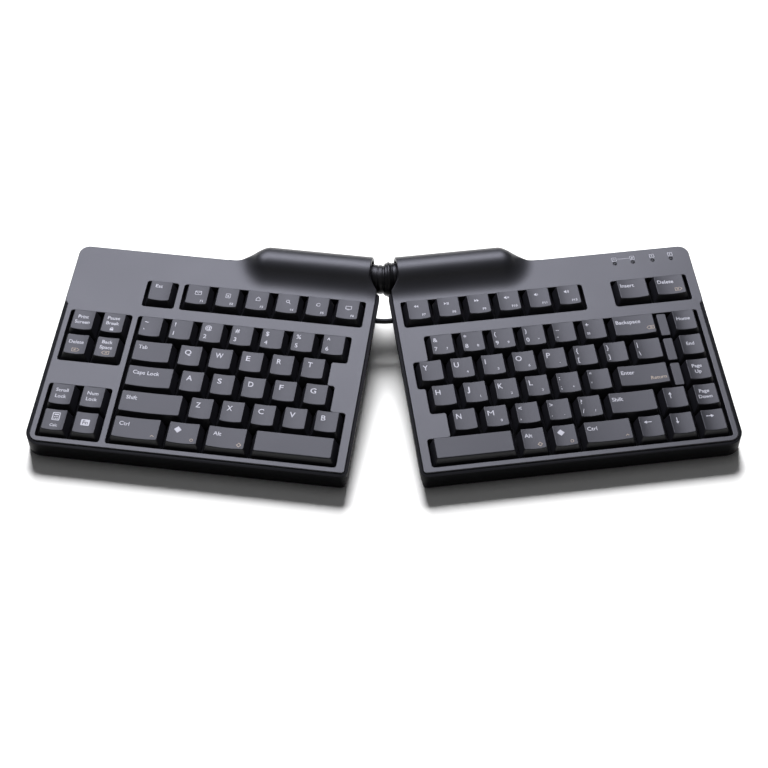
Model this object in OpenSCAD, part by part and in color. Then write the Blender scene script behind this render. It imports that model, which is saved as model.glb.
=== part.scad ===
// Ergonomic split keyboard: two wedge-shaped halves joined at the back by a booted, lockable ball joint.
// The desk is the plane Z = 0, +X runs to the right and +Y to the back.

/* [Keys] */
// Spacing of the key cells, centre to centre
key_pitch = 19.05; // [18.8:0.05:19.4]
// Gap between the skirts of neighbouring caps
key_gap = 1; // [0.8:0.1:1.4]
// Height of a cap from its skirt to its top edge
cap_h = 6.5; // [6.2:0.1:7]
// Inward run of a cap's left and right walls
cap_side_run = 2.4; // [1.8:0.1:2.8]
// Inward run of a cap's front wall
cap_front_run = 2.7; // [2:0.1:3.2]
// Inward run of a cap's back wall
cap_back_run = 0.7; // [0.4:0.1:1.2]
// Thickness of a cap's walls
cap_wall = 1.2; // [1:0.1:1.5]
// Thickness of a cap's roof under its dish
cap_roof = 1.4; // [1.1:0.1:1.6]
// Depth of the finger dish across a cap's top
cap_dish = 0.6; // [0.3:0.1:0.8]
// Drop of the low ledge at the right end of the stepped caps
ledge_drop = 2; // [1.5:0.1:2.5]
// Width of that ledge with its wall
ledge_w = 7; // [6:0.1:8]
// Length that a key travels
key_travel = 3; // [2.6:0.1:3.2]
// How far the caps' top edges stand above the cover
key_proud = 3.2; // [2.8:0.1:3.5]
// Width of the square plunger under a cap
plunger_w = 6; // [5:0.1:6.4]
// Width of the two guide legs under a space bar
guide_w = 3; // [2.4:0.1:3.6]

/* [Halves] */
// Slope of the key deck, front to back
deck_pitch = 7; // [6.6:0.1:7.4]
// Angle that each half is turned out, as it stands
splay_half = 8; // [2:0.5:14]
// Height of the hinge axis above the desk
hinge_h = 27.5; // [27:0.5:30]
// Height of the cover's top above the hinge axis
cover_rise = 5; // [4.6:0.1:5.4]
// Thickness of the cover
cover_t = 2.5; // [2.2:0.1:2.8]
// Width of the dark rim seen beside the cover
rim_w = 2.4; // [2:0.1:2.8]
// Drop of that rim below the cover's top
rim_drop = 0.8; // [0.4:0.1:1.2]
// Thickness of the base's walls
wall_t = 3.6; // [3.2:0.1:4]
// Thickness of the base's floor
floor_t = 1.8; // [1.6:0.1:2]
// Height of the rubber feet
foot_h = 1.5; // [1.2:0.1:1.6]
// Radius of the rubber feet
foot_r = 6.5; // [5:0.5:8]
// Distance of a foot's centre from the edges near it
foot_inset = 18; // [16:0.5:22]
// Half of the gap between the two inner walls when the halves are closed
inner_gap = 0.5; // [0.4:0.1:1]
// Width of the dark rim along the inner wall
inner_rim_w = 1.9; // [1.5:0.1:2.4]
// Lean of the inner walls below the hinge axis, which lets the middle rise
undercut = 15; // [14:0.5:17]
// Margin from the inner wall to the first key cell
inner_margin = 7.9; // [7.5:0.1:9]
// Margin from the outer and front walls to the key cells
outer_margin = 6.4; // [6:0.1:8]
// Depth of the strip behind the key cells
back_strip = 24; // [23.6:0.1:26]
// Margin of a key well round its cells
well_margin = 0.45; // [0.3:0.05:0.6]
// Corner radius of the key wells
well_r = 1.6; // [1:0.1:2]
// Corner radius of the base, outer front
front_r = 10; // [8:0.5:12]
// Corner radius at the outer back
back_r = 6.5; // [5:0.5:8]
// Corner radius of the base, inner front
inner_r = 5; // [4:0.5:6]
// Corner radius of the cover, inner front
cover_inner_r = 2; // [1:0.5:3]
// Corner radius of the cover, outer front
cover_front_r = 6; // [5:0.5:8]
// Depth from the back over which the cover reaches the outer edge
wide_depth = 46; // [40:1:52]

/* [Deck and sheets] */
// Thickness of the key deck
deck_t = 1.2; // [1:0.1:1.4]
// Height of a guide sleeve above the deck
sleeve_h = 2.6; // [2:0.1:2.8]
// Wall of a guide sleeve
sleeve_wall = 1.2; // [1:0.1:1.4]
// Room under a pressed cap
press_gap = 0.3; // [0.2:0.05:0.4]
// Height of a plunger's tip above the deck's top, at rest
tip_rise = 0.7; // [0.6:0.05:0.8]
// Height of a dome left when its key is down
dome_spare = 0.2; // [0.15:0.05:0.3]
// Radius of a dome at its foot
dome_r = 4.2; // [3.8:0.1:4.4]
// Radius of a dome at its top
dome_top_r = 2.3; // [2:0.1:2.5]
// How far a dome draws in above its foot
dome_in = 0.8; // [0.6:0.1:1]
// Thickness of the dome sheet
sheet_t = 0.4; // [0.3:0.05:0.5]
// Thickness of the circuit sheet
circuit_t = 1; // [0.8:0.1:1.1]
// Width of the deck's lip behind the key cells
deck_lip = 1.2; // [0.8:0.1:1.5]
// Width of the deck's rim, which stands on the dome sheet
deck_rim = 1.5; // [1.2:0.1:2]

/* [Barrel and hinge] */
// Radius of the barrel along the back
barrel_r = 13.5; // [13:0.1:14]
// Distance of the barrel's open end from the ball's centre
barrel_start = 8.1; // [7.8:0.1:9]
// Distance from the ball at which the barrel starts to taper
taper_start = 73.5; // [68:0.5:80]
// Slope of the barrel's taper
taper_slope = 33; // [28:1:38]
// Radius of the rounded shoulder of the taper
shoulder_r = 6.7; // [5:0.1:6.7]
// Radius of the hollow at the taper's foot
taper_foot_r = 10; // [8:0.5:12]
// Radius of the taper's small end
tail_r = 3; // [2.5:0.1:3.5]
// Radius of the hollow fillet between barrel and cover
fillet_r = 13; // [11:0.5:14]
// Distance before the taper at which that fillet turns to the back edge
fillet_turn = 2; // [1.5:0.1:3]
// Radius of the open mouth in the barrel's end
mouth_r = 11.4; // [11.3:0.1:11.8]
// Depth of that mouth
mouth_d = 12; // [11:0.5:14]
// Radius of the hinge ball
ball_r = 6.6; // [6.4:0.1:6.7]
// Wall of the socket round the ball
socket_wall = 1.3; // [1.1:0.1:1.4]
// How far the socket reaches past the ball's middle
socket_lip = 1.3; // [1:0.1:1.5]
// Radius of the shanks in the barrels
shank_r = 4.5; // [4:0.1:4.8]
// Length of the socket's shank past the mouth
socket_shank = 18; // [17.5:0.5:22]
// Length of the tongue's shank past the mouth
tongue_shank = 10; // [8:0.5:14]
// Radius of the hinge pin
pin_r = 1.5; // [1.3:0.1:1.7]
// Thickness of the tongue in the ball's slot
tongue_t = 3.8; // [3.4:0.1:4]
// Radius of the tongue's eye
eye_r = 3.6; // [3.2:0.1:3.8]
// Radius of the tongue's stem
stem_r = 2.8; // [2.4:0.1:3]
// Thickness of the flanges in the mouths
flange_t = 1.5; // [1.2:0.1:2]
// Outer radius of the boot's ribbed sleeve
sleeve_r = 9.3; // [9.2:0.05:9.4]
// Thickness of the boot's sleeve
boot_t = 0.8; // [0.6:0.05:0.8]
// Angle from the barrel's axis at which the boot's sleeve ends
sleeve_end = 114; // [108:1:115]
// Angle from the barrel's axis at which the boot's collar ends
collar_end = 92; // [86:1:93]
// Outer radius of the boot's collar
collar_r = 10.9; // [10.6:0.1:11]
// Running gap between pieces of the hinge
run_gap = 0.3; // [0.25:0.01:0.35]
// Depth in front of the hinge axis at which the corner beside the boot is cut away
notch_depth = 7.9; // [7.7:0.1:8.4]
// Angle of that cut to the inner wall
notch_angle = 40; // [38:1:44]

/* [Lever, lead and fittings] */
// Radius of the lock lever's hub
hub_r = 8; // [7.5:0.1:8.4]
// Width of the hub along the barrel
hub_w = 5; // [4:0.1:6]
// Distance of the hub from the bottom of the mouth
hub_set = 11; // [10:0.5:12]
// Angle of the lever at rest, below the barrel's back
lever_rest = -35; // [-45:1:-30]
// Angle that the lever swings up
lever_swing = 60; // [50:1:64]
// Length of the lever's paddle along the barrel
paddle_l = 27; // [20:0.5:32]
// Height of the paddle
paddle_h = 10; // [8:0.5:12]
// Thickness of the paddle
paddle_t = 3.5; // [3:0.1:4.5]
// Gap between the paddle and the barrel
paddle_gap = 0.7; // [0.5:0.1:1]
// How far the paddle reaches past the hub towards the ball
paddle_over = 0.6; // [0.4:0.1:1]
// Width of the lever's arm
arm_w = 4; // [3:0.1:5]
// Diameter of the link lead
lead_d = 3.3; // [3:0.1:3.6]
// Distance of the link lead in front of the hinge axis
lead_back = 30.6; // [28:0.1:36]
// Drop of the link lead below the deck plane of the hinge axis
lead_drop = 3; // [2.5:0.1:4]
// Sag of the link lead at the middle
lead_sag = 0.8; // [0.4:0.1:1.2]
// Radius of a case screw's shaft
screw_r = 1.3; // [1.1:0.05:1.5]
// Radius of a case screw's head
screw_head_r = 2.6; // [2.4:0.1:2.8]
// Height of a case screw's head
screw_head_h = 1.2; // [1:0.1:1.4]
// Radius of the screw posts
post_r = 3.2; // [3:0.1:3.4]
// Depth of a screw in its boss
screw_bite = 3.2; // [2.6:0.1:3.4]
// Distance of the back screws from the back edge
back_screws = 18.6; // [18.4:0.1:19]
// Radius of the indicator lenses
lens_r = 0.9; // [0.7:0.05:1.1]
// Thickness of the lenses' flange under the cover
lens_flange = 1; // [0.8:0.1:1.2]
// Distances of the indicator lenses from the outer edge
lens_set = [12.4, 24.3, 37.1, 48.8]; // [8:0.1:60]
// Distance of the indicator lenses from the back edge
lens_back = 9.4; // [8:0.1:11]
// Distance of the first back screw from the inner wall
back_screw_in = 38.8; // [36:0.1:42]
// Distance of the last back screw from the outer edge
back_screw_out = 14; // [12:0.5:18]
// Distance of the cord gland from the outer edge
gland_set = 75; // [60:1:90]
// Radius of the cord gland's neck
gland_r = 3.6; // [3.2:0.1:4]
// Radius of the cord gland's bore
gland_bore = 2.2; // [1.8:0.1:2.4]

/* [Fits] */
// Clearance of sliding pieces, each side
slide_gap = 0.3; // [0.25:0.01:0.35]
// Clearance of seated pieces, each side
seat_gap = 0.15; // [0.1:0.01:0.2]
// Clearance of pins and screws in their holes
pin_gap = 0.05; // [0.03:0.01:0.08]

/* [Hidden] */
$fn = 64;
LEFT = -1;
RIGHT = 1;
// Room past a surface that a cut runs through
past = 1;
// Overlap of rounded faces that run into each other
lap = 0.03;

// Key cells in units of the pitch. A key is [left unit, width, row], with row 0 for the function keys
LEFT_LAST = 7.25;
RIGHT_FIRST = 6.5;
FIELD_UNITS = 9.5;
ROWS = 5;
ROW_BREAK = 1.5;
left_function_cells = concat([[0, 1, 0]], [for (i = [0:5]) [1.25 + i, 1, 0]]);
left_number_cells = [for (i = [0:6]) [i, 1, 1]];
left_modifier_cells = [[0, 1.5, 2], [0, 1.75, 3], [0, 2.25, 4], [0, 1.75, 5], [1.75, 1.25, 5], [3, 1.5, 5]];
left_side_cells = [for (row = [1, 2, 4, 5]) for (i = [0:1]) [-2.25 + i, 1, row]];
left_space_cell = [4.5, 2.75, 5];
right_function_cells = concat(
    [for (i = [0:5]) [6.45 + i, 1, 0]],
    [for (i = [0:1]) [13.475 + 1.25 * i, 1.25, 0]]
);
right_symbol_cells = concat(
    [for (i = [0:5]) [7 + i, 1, 1]],
    [for (i = [0:1]) [11.5 + i, 1, 2]],
    [for (i = [0:1]) [10.75 + i, 1, 3]],
    [for (i = [0:2]) [9.25 + i, 1, 4]]
);
right_stepped_cells = [[13, 2, 1], [13.5, 1.5, 2], [12.75, 2.25, 3]];
right_modifier_cells = [[12.25, 1.75, 4], [9.25, 1, 5], [10.25, 1, 5], [11.25, 1.75, 5]];
navigation_cells = concat([for (row = [1:4]) [15, 1, row]], [[14, 1, 4]], [for (i = [0:2]) [13 + i, 1, 5]]);
right_space_cell = [6.5, 2.75, 5];
// Runs of letter keys: half, row, first unit, letters
LETTER_RUNS = [
    [LEFT, 2, 1.5, "qwert"],
    [LEFT, 3, 1.75, "asdfg"],
    [LEFT, 4, 2.25, "zxcvb"],
    [RIGHT, 2, 6.5, "yuiop"],
    [RIGHT, 3, 6.75, "hjkl"],
    [RIGHT, 4, 7.25, "nm"]
];
letter_nodes = [for (run = LETTER_RUNS) for (letter = run[3]) str("key_", letter)];
left_letter_cells = letter_cells(LEFT);
right_letter_cells = letter_cells(RIGHT);
left_cells = concat(left_function_cells, left_number_cells, left_modifier_cells, left_side_cells,
    left_letter_cells, [left_space_cell]);
right_cells = concat(right_function_cells, right_symbol_cells, right_stepped_cells, right_modifier_cells,
    navigation_cells, right_letter_cells, [right_space_cell]);
// Wells: runs of rows, each row as [first unit, last unit, row]
left_wells = [
    [[0, 1, 0]],
    [[1.25, 7.25, 0]],
    [[-2.25, -0.25, 1], [-2.25, -0.25, 2]],
    [[-2.25, -0.25, 4], [-2.25, -0.25, 5]],
    [[0, 7, 1], [0, 6.5, 2], [0, 6.75, 3], [0, 7.25, 4], [0, 7.25, 5]]
];
right_wells = [
    [[6.45, 12.45, 0]],
    [[13.475, 15.975, 0]],
    [[7, 16, 1], [6.5, 16, 2], [6.75, 16, 3], [7.25, 16, 4], [6.5, 16, 5]]
];
// Screws: units of those that hold the deck, and distances along the back of those that hold the cover
left_deck_screws = [-0.125, 4.25];
right_deck_screws = [9.25, 14];
SPACE_GUIDES = [-1, 1];

function letter_cells(side) = [
    for (run = LETTER_RUNS) if (run[0] == side) for (i = [0:len(run[3]) - 1]) [run[2] + i, 1, run[1]]
];
// Distance along the deck of a unit, and depth of a row's middle
function unit_x(side, unit) = side == RIGHT ? (unit - RIGHT_FIRST) * key_pitch + key_start
    : (unit - LEFT_LAST) * key_pitch - key_start;
function row_y(row) = row == 0 ? -(back_strip + key_pitch / 2)
    : -(back_strip + key_pitch / 2) - (ROW_BREAK + row - 1) * key_pitch;
function cell_x(side, cell) = unit_x(side, cell[0] + cell[1] / 2);
// Deck height of a level plane of the base at a depth along the deck
function level_z(level, y) = (level - hinge_h - y * sin(deck_pitch)) / cos(deck_pitch);

// Plan of a half, in its deck frame
key_start = inner_gap + inner_margin;
case_in = inner_gap;
case_out = key_start + FIELD_UNITS * key_pitch + outer_margin;
case_front = row_y(ROWS) - key_pitch / 2 - outer_margin;
cover_in = case_in + inner_rim_w;
cover_out = case_out - rim_w;
cover_front = case_front + rim_w;
wide_front = -wide_depth;
back_screw_x = [case_in + back_screw_in, (case_in + case_out) / 2, case_out - back_screw_out];
deck_screw_y = (row_y(ROWS - 1) + row_y(ROWS)) / 2;
lens_x = [for (set = lens_set) case_out - set];
gland_x = case_out - gland_set;

// Heights above the hinge axis, square to the deck
cover_bottom = cover_rise - cover_t;
rim_top = cover_rise - rim_drop;
skirt_z = cover_rise + key_proud - cap_h;
ceiling_z = cap_h - cap_dish - cap_roof;
deck_top = skirt_z - key_travel - press_gap;
deck_bottom = deck_top - deck_t;
sleeve_top = deck_top + sleeve_h;
tip_z = deck_top + tip_rise;
dome_top = tip_z - pin_gap;
dome_h = key_travel + dome_spare;
sheet_top = dome_top - dome_h;
sheet_bottom = sheet_top - sheet_t;
circuit_bottom = sheet_bottom - circuit_t;
base_depth = hinge_h + barrel_r;
// Reach of the cuts that take all of a half beside a plane
cut_reach = 2 * case_out;

// Edges of the deck and the sheets, clear of the base's walls
deck_in = case_in + wall_t - circuit_bottom * tan(undercut) + slide_gap;
deck_out = case_out - wall_t - slide_gap;
deck_front = case_front + wall_t + slide_gap;
deck_back = -back_strip + deck_lip;
deck_corner_r = front_r - wall_t;

// Hinge: distances are measured from the ball's centre out along a half's barrel
mouth_floor = barrel_start + mouth_d;
socket_bore = ball_r + run_gap;
socket_r = socket_bore + socket_wall;
boot_in = sleeve_r - boot_t;
collar_in = sleeve_r + run_gap;
// Angles from the barrel's axis: where the sleeve and the collar leave their necks, and the sleeve's creases
sleeve_from = 40;
collar_from = 56;
creases = [64, 88];
crease_r = 0.35;
neck_r = boot_in * sin(sleeve_from + 10);
neck_in = shank_r + 2 * run_gap;
neck_start = boot_in * cos(sleeve_from) + pin_gap;
collar_neck = collar_in * sin(collar_from + 6);
collar_neck_start = collar_in * cos(collar_from + 2);
slot_h = tongue_t + 2 * run_gap;
shank_bore = shank_r + pin_gap;
hub_start = mouth_floor + hub_set;
hub_end = hub_start + hub_w;
hub_wall = hub_r - shank_r;
paddle_in = barrel_r + paddle_gap;
arm_reach = asin((arm_w / 2 + run_gap) / hub_r);

// The part stands on the middle of its footprint
floor_shift = hinge_h * sin(deck_pitch);
far_back = (case_out - back_r) * sin(splay_half) + (floor_shift - back_r) * cos(splay_half) + back_r;
far_front = (case_in + inner_r) * sin(splay_half) + (case_front * cos(deck_pitch) + inner_r) * cos(splay_half)
    - inner_r - rim_top * sin(deck_pitch);
hinge_y = -(far_back + far_front) / 2;

// Stands a half at its splay, turned about the ball
module half_frame(side) {
    translate([0, hinge_y, hinge_h])
        rotate([0, 0, side * splay_half])
            children();
}

// Deck frame of a half: Y runs back along the deck and Z stands off it
module deck_frame(side) {
    half_frame(side)
        rotate([deck_pitch, 0, 0])
            children();
}

// Deck frame with X running out from the ball on either half
module outward(side) {
    deck_frame(side)
        mirror([side == LEFT ? 1 : 0, 0, 0])
            children();
}

// Lays an upright revolve or cylinder along X
module along_x() {
    rotate([0, 90, 0])
        children();
}

// Rectangle with its own radius at each corner: inner front, outer front, outer back, inner back
module corner_plate(x0, y0, x1, y1, r) {
    polygon([
        [x0 + r[0], y0], [x1 - r[1], y0], [x1, y0 + r[1]], [x1, y1 - r[2]],
        [x1 - r[2], y1], [x0 + r[3], y1], [x0, y1 - r[3]], [x0, y0 + r[0]]
    ]);
    translate([x0 + r[0], y0 + r[0]])
        circle(r[0]);
    translate([x1 - r[1], y0 + r[1]])
        circle(r[1]);
    translate([x1 - r[2], y1 - r[2]])
        circle(r[2]);
    translate([x0 + r[3], y1 - r[3]])
        circle(r[3]);
}

module slab(z0, z1) {
    translate([0, 0, z0])
        linear_extrude(z1 - z0)
            children();
}

// Everything of a half above or below a height of the deck
module above(z) {
    translate([-cut_reach, -cut_reach, z])
        cube(2 * cut_reach);
}

module below(z) {
    translate([-cut_reach, -cut_reach, z - 2 * cut_reach])
        cube(2 * cut_reach);
}

// Keycaps

// Block with sloping walls, from its foot up to a height
module sloped_block(w, d, h, side_run, front_run, back_run) {
    intersection() {
        rotate([90, 0, 0])
            linear_extrude(d, center = true)
                polygon([[-w / 2, 0], [w / 2, 0], [w / 2 - side_run, h], [side_run - w / 2, h]]);
        rotate([90, 0, 90])
            linear_extrude(w, center = true)
                polygon([[-d / 2, 0], [d / 2, 0], [d / 2 - back_run, h], [front_run - d / 2, h]]);
    }
}

// Hollow under a cap, its walls parallel to the outside
module cap_hollow(w, d, h) {
    share = h / cap_h;
    translate([0, 0, -past])
        linear_extrude(past + pin_gap)
            square([w - 2 * cap_wall, d - 2 * cap_wall], center = true);
    sloped_block(w - 2 * cap_wall, d - 2 * cap_wall, h,
        share * cap_side_run, share * cap_front_run, share * cap_back_run);
}

// Finger dish: a shallow cylinder that runs from front to back
module finger_dish(top_w) {
    dish_r = (pow(top_w / 2, 2) + pow(cap_dish, 2)) / (2 * cap_dish);
    translate([0, 0, cap_h - cap_dish + dish_r])
        rotate([90, 0, 0])
            cylinder(h = 2 * key_pitch, r = dish_r, center = true, $fn = 128);
}

module plunger(w) {
    tip = tip_z - skirt_z;
    translate([-w / 2, -w / 2, tip])
        cube([w, w, ceiling_z - tip + pin_gap]);
}

// A cap with its foot at the origin, drawn for a cell of so many units
module keycap(units, dished = true) {
    w = units * key_pitch - key_gap;
    d = key_pitch - key_gap;
    difference() {
        sloped_block(w, d, cap_h, cap_side_run, cap_front_run, cap_back_run);
        cap_hollow(w, d, ceiling_z);
        if (dished)
            finger_dish(w - 2 * cap_side_run);
    }
    plunger(plunger_w);
}

// A wide cap whose right end drops to a low ledge
module stepped_cap(units) {
    w = units * key_pitch - key_gap;
    d = key_pitch - key_gap;
    main_w = w - ledge_w;
    ledge_run = 0.6;
    ledge_h = cap_h - ledge_drop;
    difference() {
        union() {
            translate([-ledge_w / 2, 0, 0])
                sloped_block(main_w, d, cap_h, cap_side_run, cap_front_run, cap_back_run);
            translate([w / 2 - ledge_w, 0, 0])
                sloped_block(2 * ledge_w, d, ledge_h, ledge_run, ledge_run, ledge_run);
        }
        translate([-ledge_w / 2, 0, 0]) {
            cap_hollow(main_w, d, ceiling_z);
            finger_dish(main_w - 2 * cap_side_run);
        }
        translate([w / 2 - ledge_w, 0, 0])
            cap_hollow(2 * ledge_w, d, ledge_h - cap_roof);
    }
    plunger(plunger_w);
}

module at_cell(side, cell) {
    deck_frame(side)
        translate([cell_x(side, cell), row_y(cell[2]), skirt_z])
            children();
}

module key_bank(side, cells) {
    color("#4b4c52")
        for (cell = cells)
            at_cell(side, cell)
                keycap(cell[1]);
}

module stepped_bank(side, cells) {
    color("#4b4c52")
        for (cell = cells)
            at_cell(side, cell)
                stepped_cap(cell[1]);
}

module space_bar(side, cell) {
    color("#4b4c52")
        at_cell(side, cell) {
            keycap(cell[1], dished = false);
            for (set = SPACE_GUIDES)
                translate([set * key_pitch, 0, 0])
                    plunger(guide_w);
        }
}

// Deck and sheets

// Plan of the deck and of the sheets under it
module deck_plan(inset = 0) {
    r = deck_corner_r;
    corner_plate(deck_in + inset, deck_front + inset, deck_out - inset, deck_back - inset,
        [inner_r, r, cover_inner_r, cover_inner_r]);
}

// The same plan on either half, with X as the keys count it
module handed_plan(side) {
    mirror([side == LEFT ? 1 : 0, 0])
        children();
}

module at_deck_screws(side) {
    for (unit = side == LEFT ? left_deck_screws : right_deck_screws)
        translate([unit_x(side, unit), deck_screw_y])
            children();
}

module guide_sleeve(side, cell, set, w) {
    translate([cell_x(side, cell) + set, row_y(cell[2])])
        square(w, center = true);
}

// Openings or outer walls of all the guide sleeves of a half
module sleeve_plan(side, cells, space_cell, wall) {
    for (cell = cells)
        guide_sleeve(side, cell, 0, plunger_w + 2 * (slide_gap + wall));
    for (set = SPACE_GUIDES)
        guide_sleeve(side, space_cell, set * key_pitch, guide_w + 2 * (slide_gap + wall));
}

module key_deck(side, cells, space_cell) {
    color("#17181a")
        deck_frame(side)
            difference() {
                union() {
                    slab(deck_bottom, deck_top)
                        handed_plan(side)
                            deck_plan();
                    slab(sheet_top, deck_bottom)
                        handed_plan(side)
                            difference() {
                                deck_plan();
                                deck_plan(deck_rim);
                            }
                    slab(deck_bottom, sleeve_top)
                        sleeve_plan(side, cells, space_cell, sleeve_wall);
                    slab(circuit_bottom, deck_bottom)
                        at_deck_screws(side)
                            circle(post_r - slide_gap);
                }
                slab(deck_bottom - past, sleeve_top + past)
                    sleeve_plan(side, cells, space_cell, 0);
                slab(circuit_bottom - past, circuit_bottom + screw_bite + seat_gap)
                    at_deck_screws(side)
                        circle(screw_r + pin_gap);
            }
}

module sheet_plan(side) {
    difference() {
        handed_plan(side)
            deck_plan();
        at_deck_screws(side)
            circle(post_r + slide_gap);
    }
}

module dome() {
    rotate_extrude()
        polygon([
            [0, sheet_top - pin_gap], [dome_r, sheet_top - pin_gap],
            [dome_r - dome_in, sheet_top + dome_h * 0.35], [dome_top_r, dome_top - dome_h * 0.2],
            [dome_top_r, dome_top], [0, dome_top]
        ]);
}

module dome_sheet(side, cells) {
    color("#55565a")
        deck_frame(side) {
            slab(sheet_bottom, sheet_top)
                sheet_plan(side);
            for (cell = cells)
                translate([cell_x(side, cell), row_y(cell[2]), 0])
                    dome();
        }
}

module circuit_sheet(side) {
    color("#2f5d46")
        deck_frame(side)
            slab(circuit_bottom, sheet_bottom)
                sheet_plan(side);
}

// Barrel along the back, about the hinge axis

module barrel_profile() {
    slope_x = (barrel_r - tail_r - (shoulder_r + taper_foot_r) * (1 - cos(taper_slope))) / tan(taper_slope);
    shoulder = [barrel_r - shoulder_r * (1 - cos(taper_slope)), taper_start + shoulder_r * sin(taper_slope)];
    foot = [tail_r + taper_foot_r * (1 - cos(taper_slope)), shoulder[1] + slope_x];
    tail = foot[1] + taper_foot_r * sin(taper_slope);
    inward = -lap * [cos(taper_slope), sin(taper_slope)];
    intersection() {
        difference() {
            union() {
                polygon([
                    [0, barrel_start], [barrel_r, barrel_start], [barrel_r, taper_start], shoulder + inward,
                    foot + inward, [tail_r + lap, tail], [tail_r / 2, tail + tail_r / 2],
                    [0, tail + tail_r / 2]
                ]);
                translate([barrel_r - shoulder_r, taper_start])
                    circle(shoulder_r);
            }
            translate([tail_r + taper_foot_r, tail])
                circle(taper_foot_r);
        }
        square([2 * barrel_r, 2 * tail]);
    }
}

module barrel() {
    along_x()
        rotate_extrude()
            barrel_profile();
}

// Section of the hollow fillet between the barrel and the cover, out from the barrel's axis
module fillet_section() {
    run = sqrt(pow(barrel_r + fillet_r, 2) - pow(cover_rise + fillet_r, 2));
    touch = [run, cover_rise + fillet_r] * barrel_r / (barrel_r + fillet_r);
    difference() {
        polygon([
            [0, cover_rise - past], [run + lap, cover_rise - past], [run + lap, cover_rise], touch * 0.99,
            [0, touch[1] * 0.99]
        ]);
        translate([run - lap, cover_rise + fillet_r - lap])
            circle(fillet_r);
    }
}

// The fillet along the barrel, which turns to the back edge where the barrel tapers
module barrel_fillet() {
    turn_x = taper_start - fillet_turn;
    translate([cover_in, 0, 0])
        rotate([90, 0, 90])
            linear_extrude(turn_x - cover_in)
                mirror([1, 0])
                    fillet_section();
    translate([turn_x, 0, 0])
        rotate([0, 0, -90])
            rotate_extrude(angle = 90)
                fillet_section();
}

// Mouth and shank bore in the barrel's end
module barrel_bores(shank) {
    translate([barrel_start - past, 0, 0])
        along_x()
            cylinder(h = mouth_d + past, r = mouth_r);
    translate([mouth_floor - past, 0, 0])
        along_x()
            cylinder(h = shank + past, r = shank_bore);
}

// Pocket for the lock lever's hub, and the slot that its arm swings in
module lever_pocket() {
    reach = 3 * barrel_r;
    low = lever_rest - arm_reach;
    high = lever_rest + lever_swing + arm_reach;
    mid = (low + high) / 2;
    translate([hub_start - run_gap, 0, 0]) {
        along_x()
            cylinder(h = hub_w + 2 * run_gap, r = hub_r + run_gap);
        rotate([90, 0, 90])
            linear_extrude(hub_w + 2 * run_gap)
                polygon([[0, 0], reach * [cos(low), sin(low)], 2 * reach * [cos(mid), sin(mid)],
                    reach * [cos(high), sin(high)]]);
    }
}

// Corner cut away beside the ball, so that the boot has room
module boot_notch() {
    corner = [barrel_start, -notch_depth];
    run = barrel_start + past;
    end_y = corner[1] - run / tan(notch_angle);
    slab(-base_depth, base_depth)
        polygon([corner, [corner[0] - run, end_y], [-3 * barrel_r, end_y], [-3 * barrel_r, 3 * barrel_r],
            [corner[0], 3 * barrel_r]]);
}

// Cover

module cover_plan(grow = 0) {
    corner_plate(cover_in - grow, cover_front - grow, cover_out + grow, 0,
        [cover_inner_r, cover_front_r, back_r, cover_inner_r]);
    corner_plate(cover_in - grow, wide_front - grow, case_out + grow, grow,
        [cover_inner_r, rim_w, back_r, cover_inner_r]);
}

// Part of a well over the rows a to b, from the wider or the narrower of their ends
module well_rows(side, a, b, first, last) {
    x0 = unit_x(side, first) - well_margin;
    x1 = unit_x(side, last) + well_margin;
    y0 = row_y(b) - key_pitch / 2 - well_margin;
    y1 = row_y(a) + key_pitch / 2 + well_margin;
    corner_plate(x0, y0, x1, y1, [well_r, well_r, well_r, well_r]);
}

module wells(side, runs) {
    for (run = runs) {
        for (row = run)
            well_rows(side, row[2], row[2], row[0], row[1]);
        if (len(run) > 1)
            for (i = [0:len(run) - 2])
                well_rows(side, run[i][2], run[i + 1][2], max(run[i][0], run[i + 1][0]),
                    min(run[i][1], run[i + 1][1]));
    }
}

module at_back_screws() {
    for (x = back_screw_x)
        translate([x, -back_screws])
            children();
}

module cover_shell(shank) {
    difference() {
        union() {
            slab(cover_bottom, cover_rise)
                cover_plan();
            barrel_fillet();
            difference() {
                barrel();
                below(cover_bottom);
            }
            slab(circuit_bottom, cover_bottom)
                at_back_screws()
                    circle(post_r - slide_gap);
        }
        boot_notch();
        barrel_bores(shank);
        slab(circuit_bottom - past, circuit_bottom + screw_bite + seat_gap)
            at_back_screws()
                circle(screw_r + pin_gap);
    }
}

module left_cover() {
    color("#5a5b61")
        difference() {
            outward(LEFT)
                difference() {
                    cover_shell(socket_shank);
                    lever_pocket();
                }
            deck_frame(LEFT)
                slab(cover_bottom - past, cover_rise + past)
                    wells(LEFT, left_wells);
        }
}

module right_cover() {
    color("#5a5b61")
        deck_frame(RIGHT)
            difference() {
                cover_shell(tongue_shank);
                slab(cover_bottom - past, cover_rise + past)
                    wells(RIGHT, right_wells);
                for (x = lens_x)
                    translate([x, -lens_back, cover_bottom - past])
                        cylinder(h = cover_t + 2 * past, r = lens_r + pin_gap);
            }
}

// Base

module base_plan(inset = 0) {
    corner_plate(case_in + inset, case_front + inset, case_out - inset, -inset,
        [inner_r - inset / 2, front_r - inset, back_r - inset, cover_inner_r]);
}

// Wedge taken off under the lean of the inner wall
module inner_lean(inset = 0) {
    translate([case_in + inset, 0, 0])
        rotate([0, -undercut, 0])
            translate([-2 * base_depth, -cut_reach, -3 * base_depth])
                cube([2 * base_depth, 2 * cut_reach, 3 * base_depth]);
}

// Solid bounded by the plan, the leaning inner wall and a level plane of the desk side
module base_block(inset, level, top) {
    difference() {
        slab(-base_depth, top)
            base_plan(inset);
        inner_lean(inset);
        rotate([-deck_pitch, 0, 0])
            below(level - hinge_h);
    }
}

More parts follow.
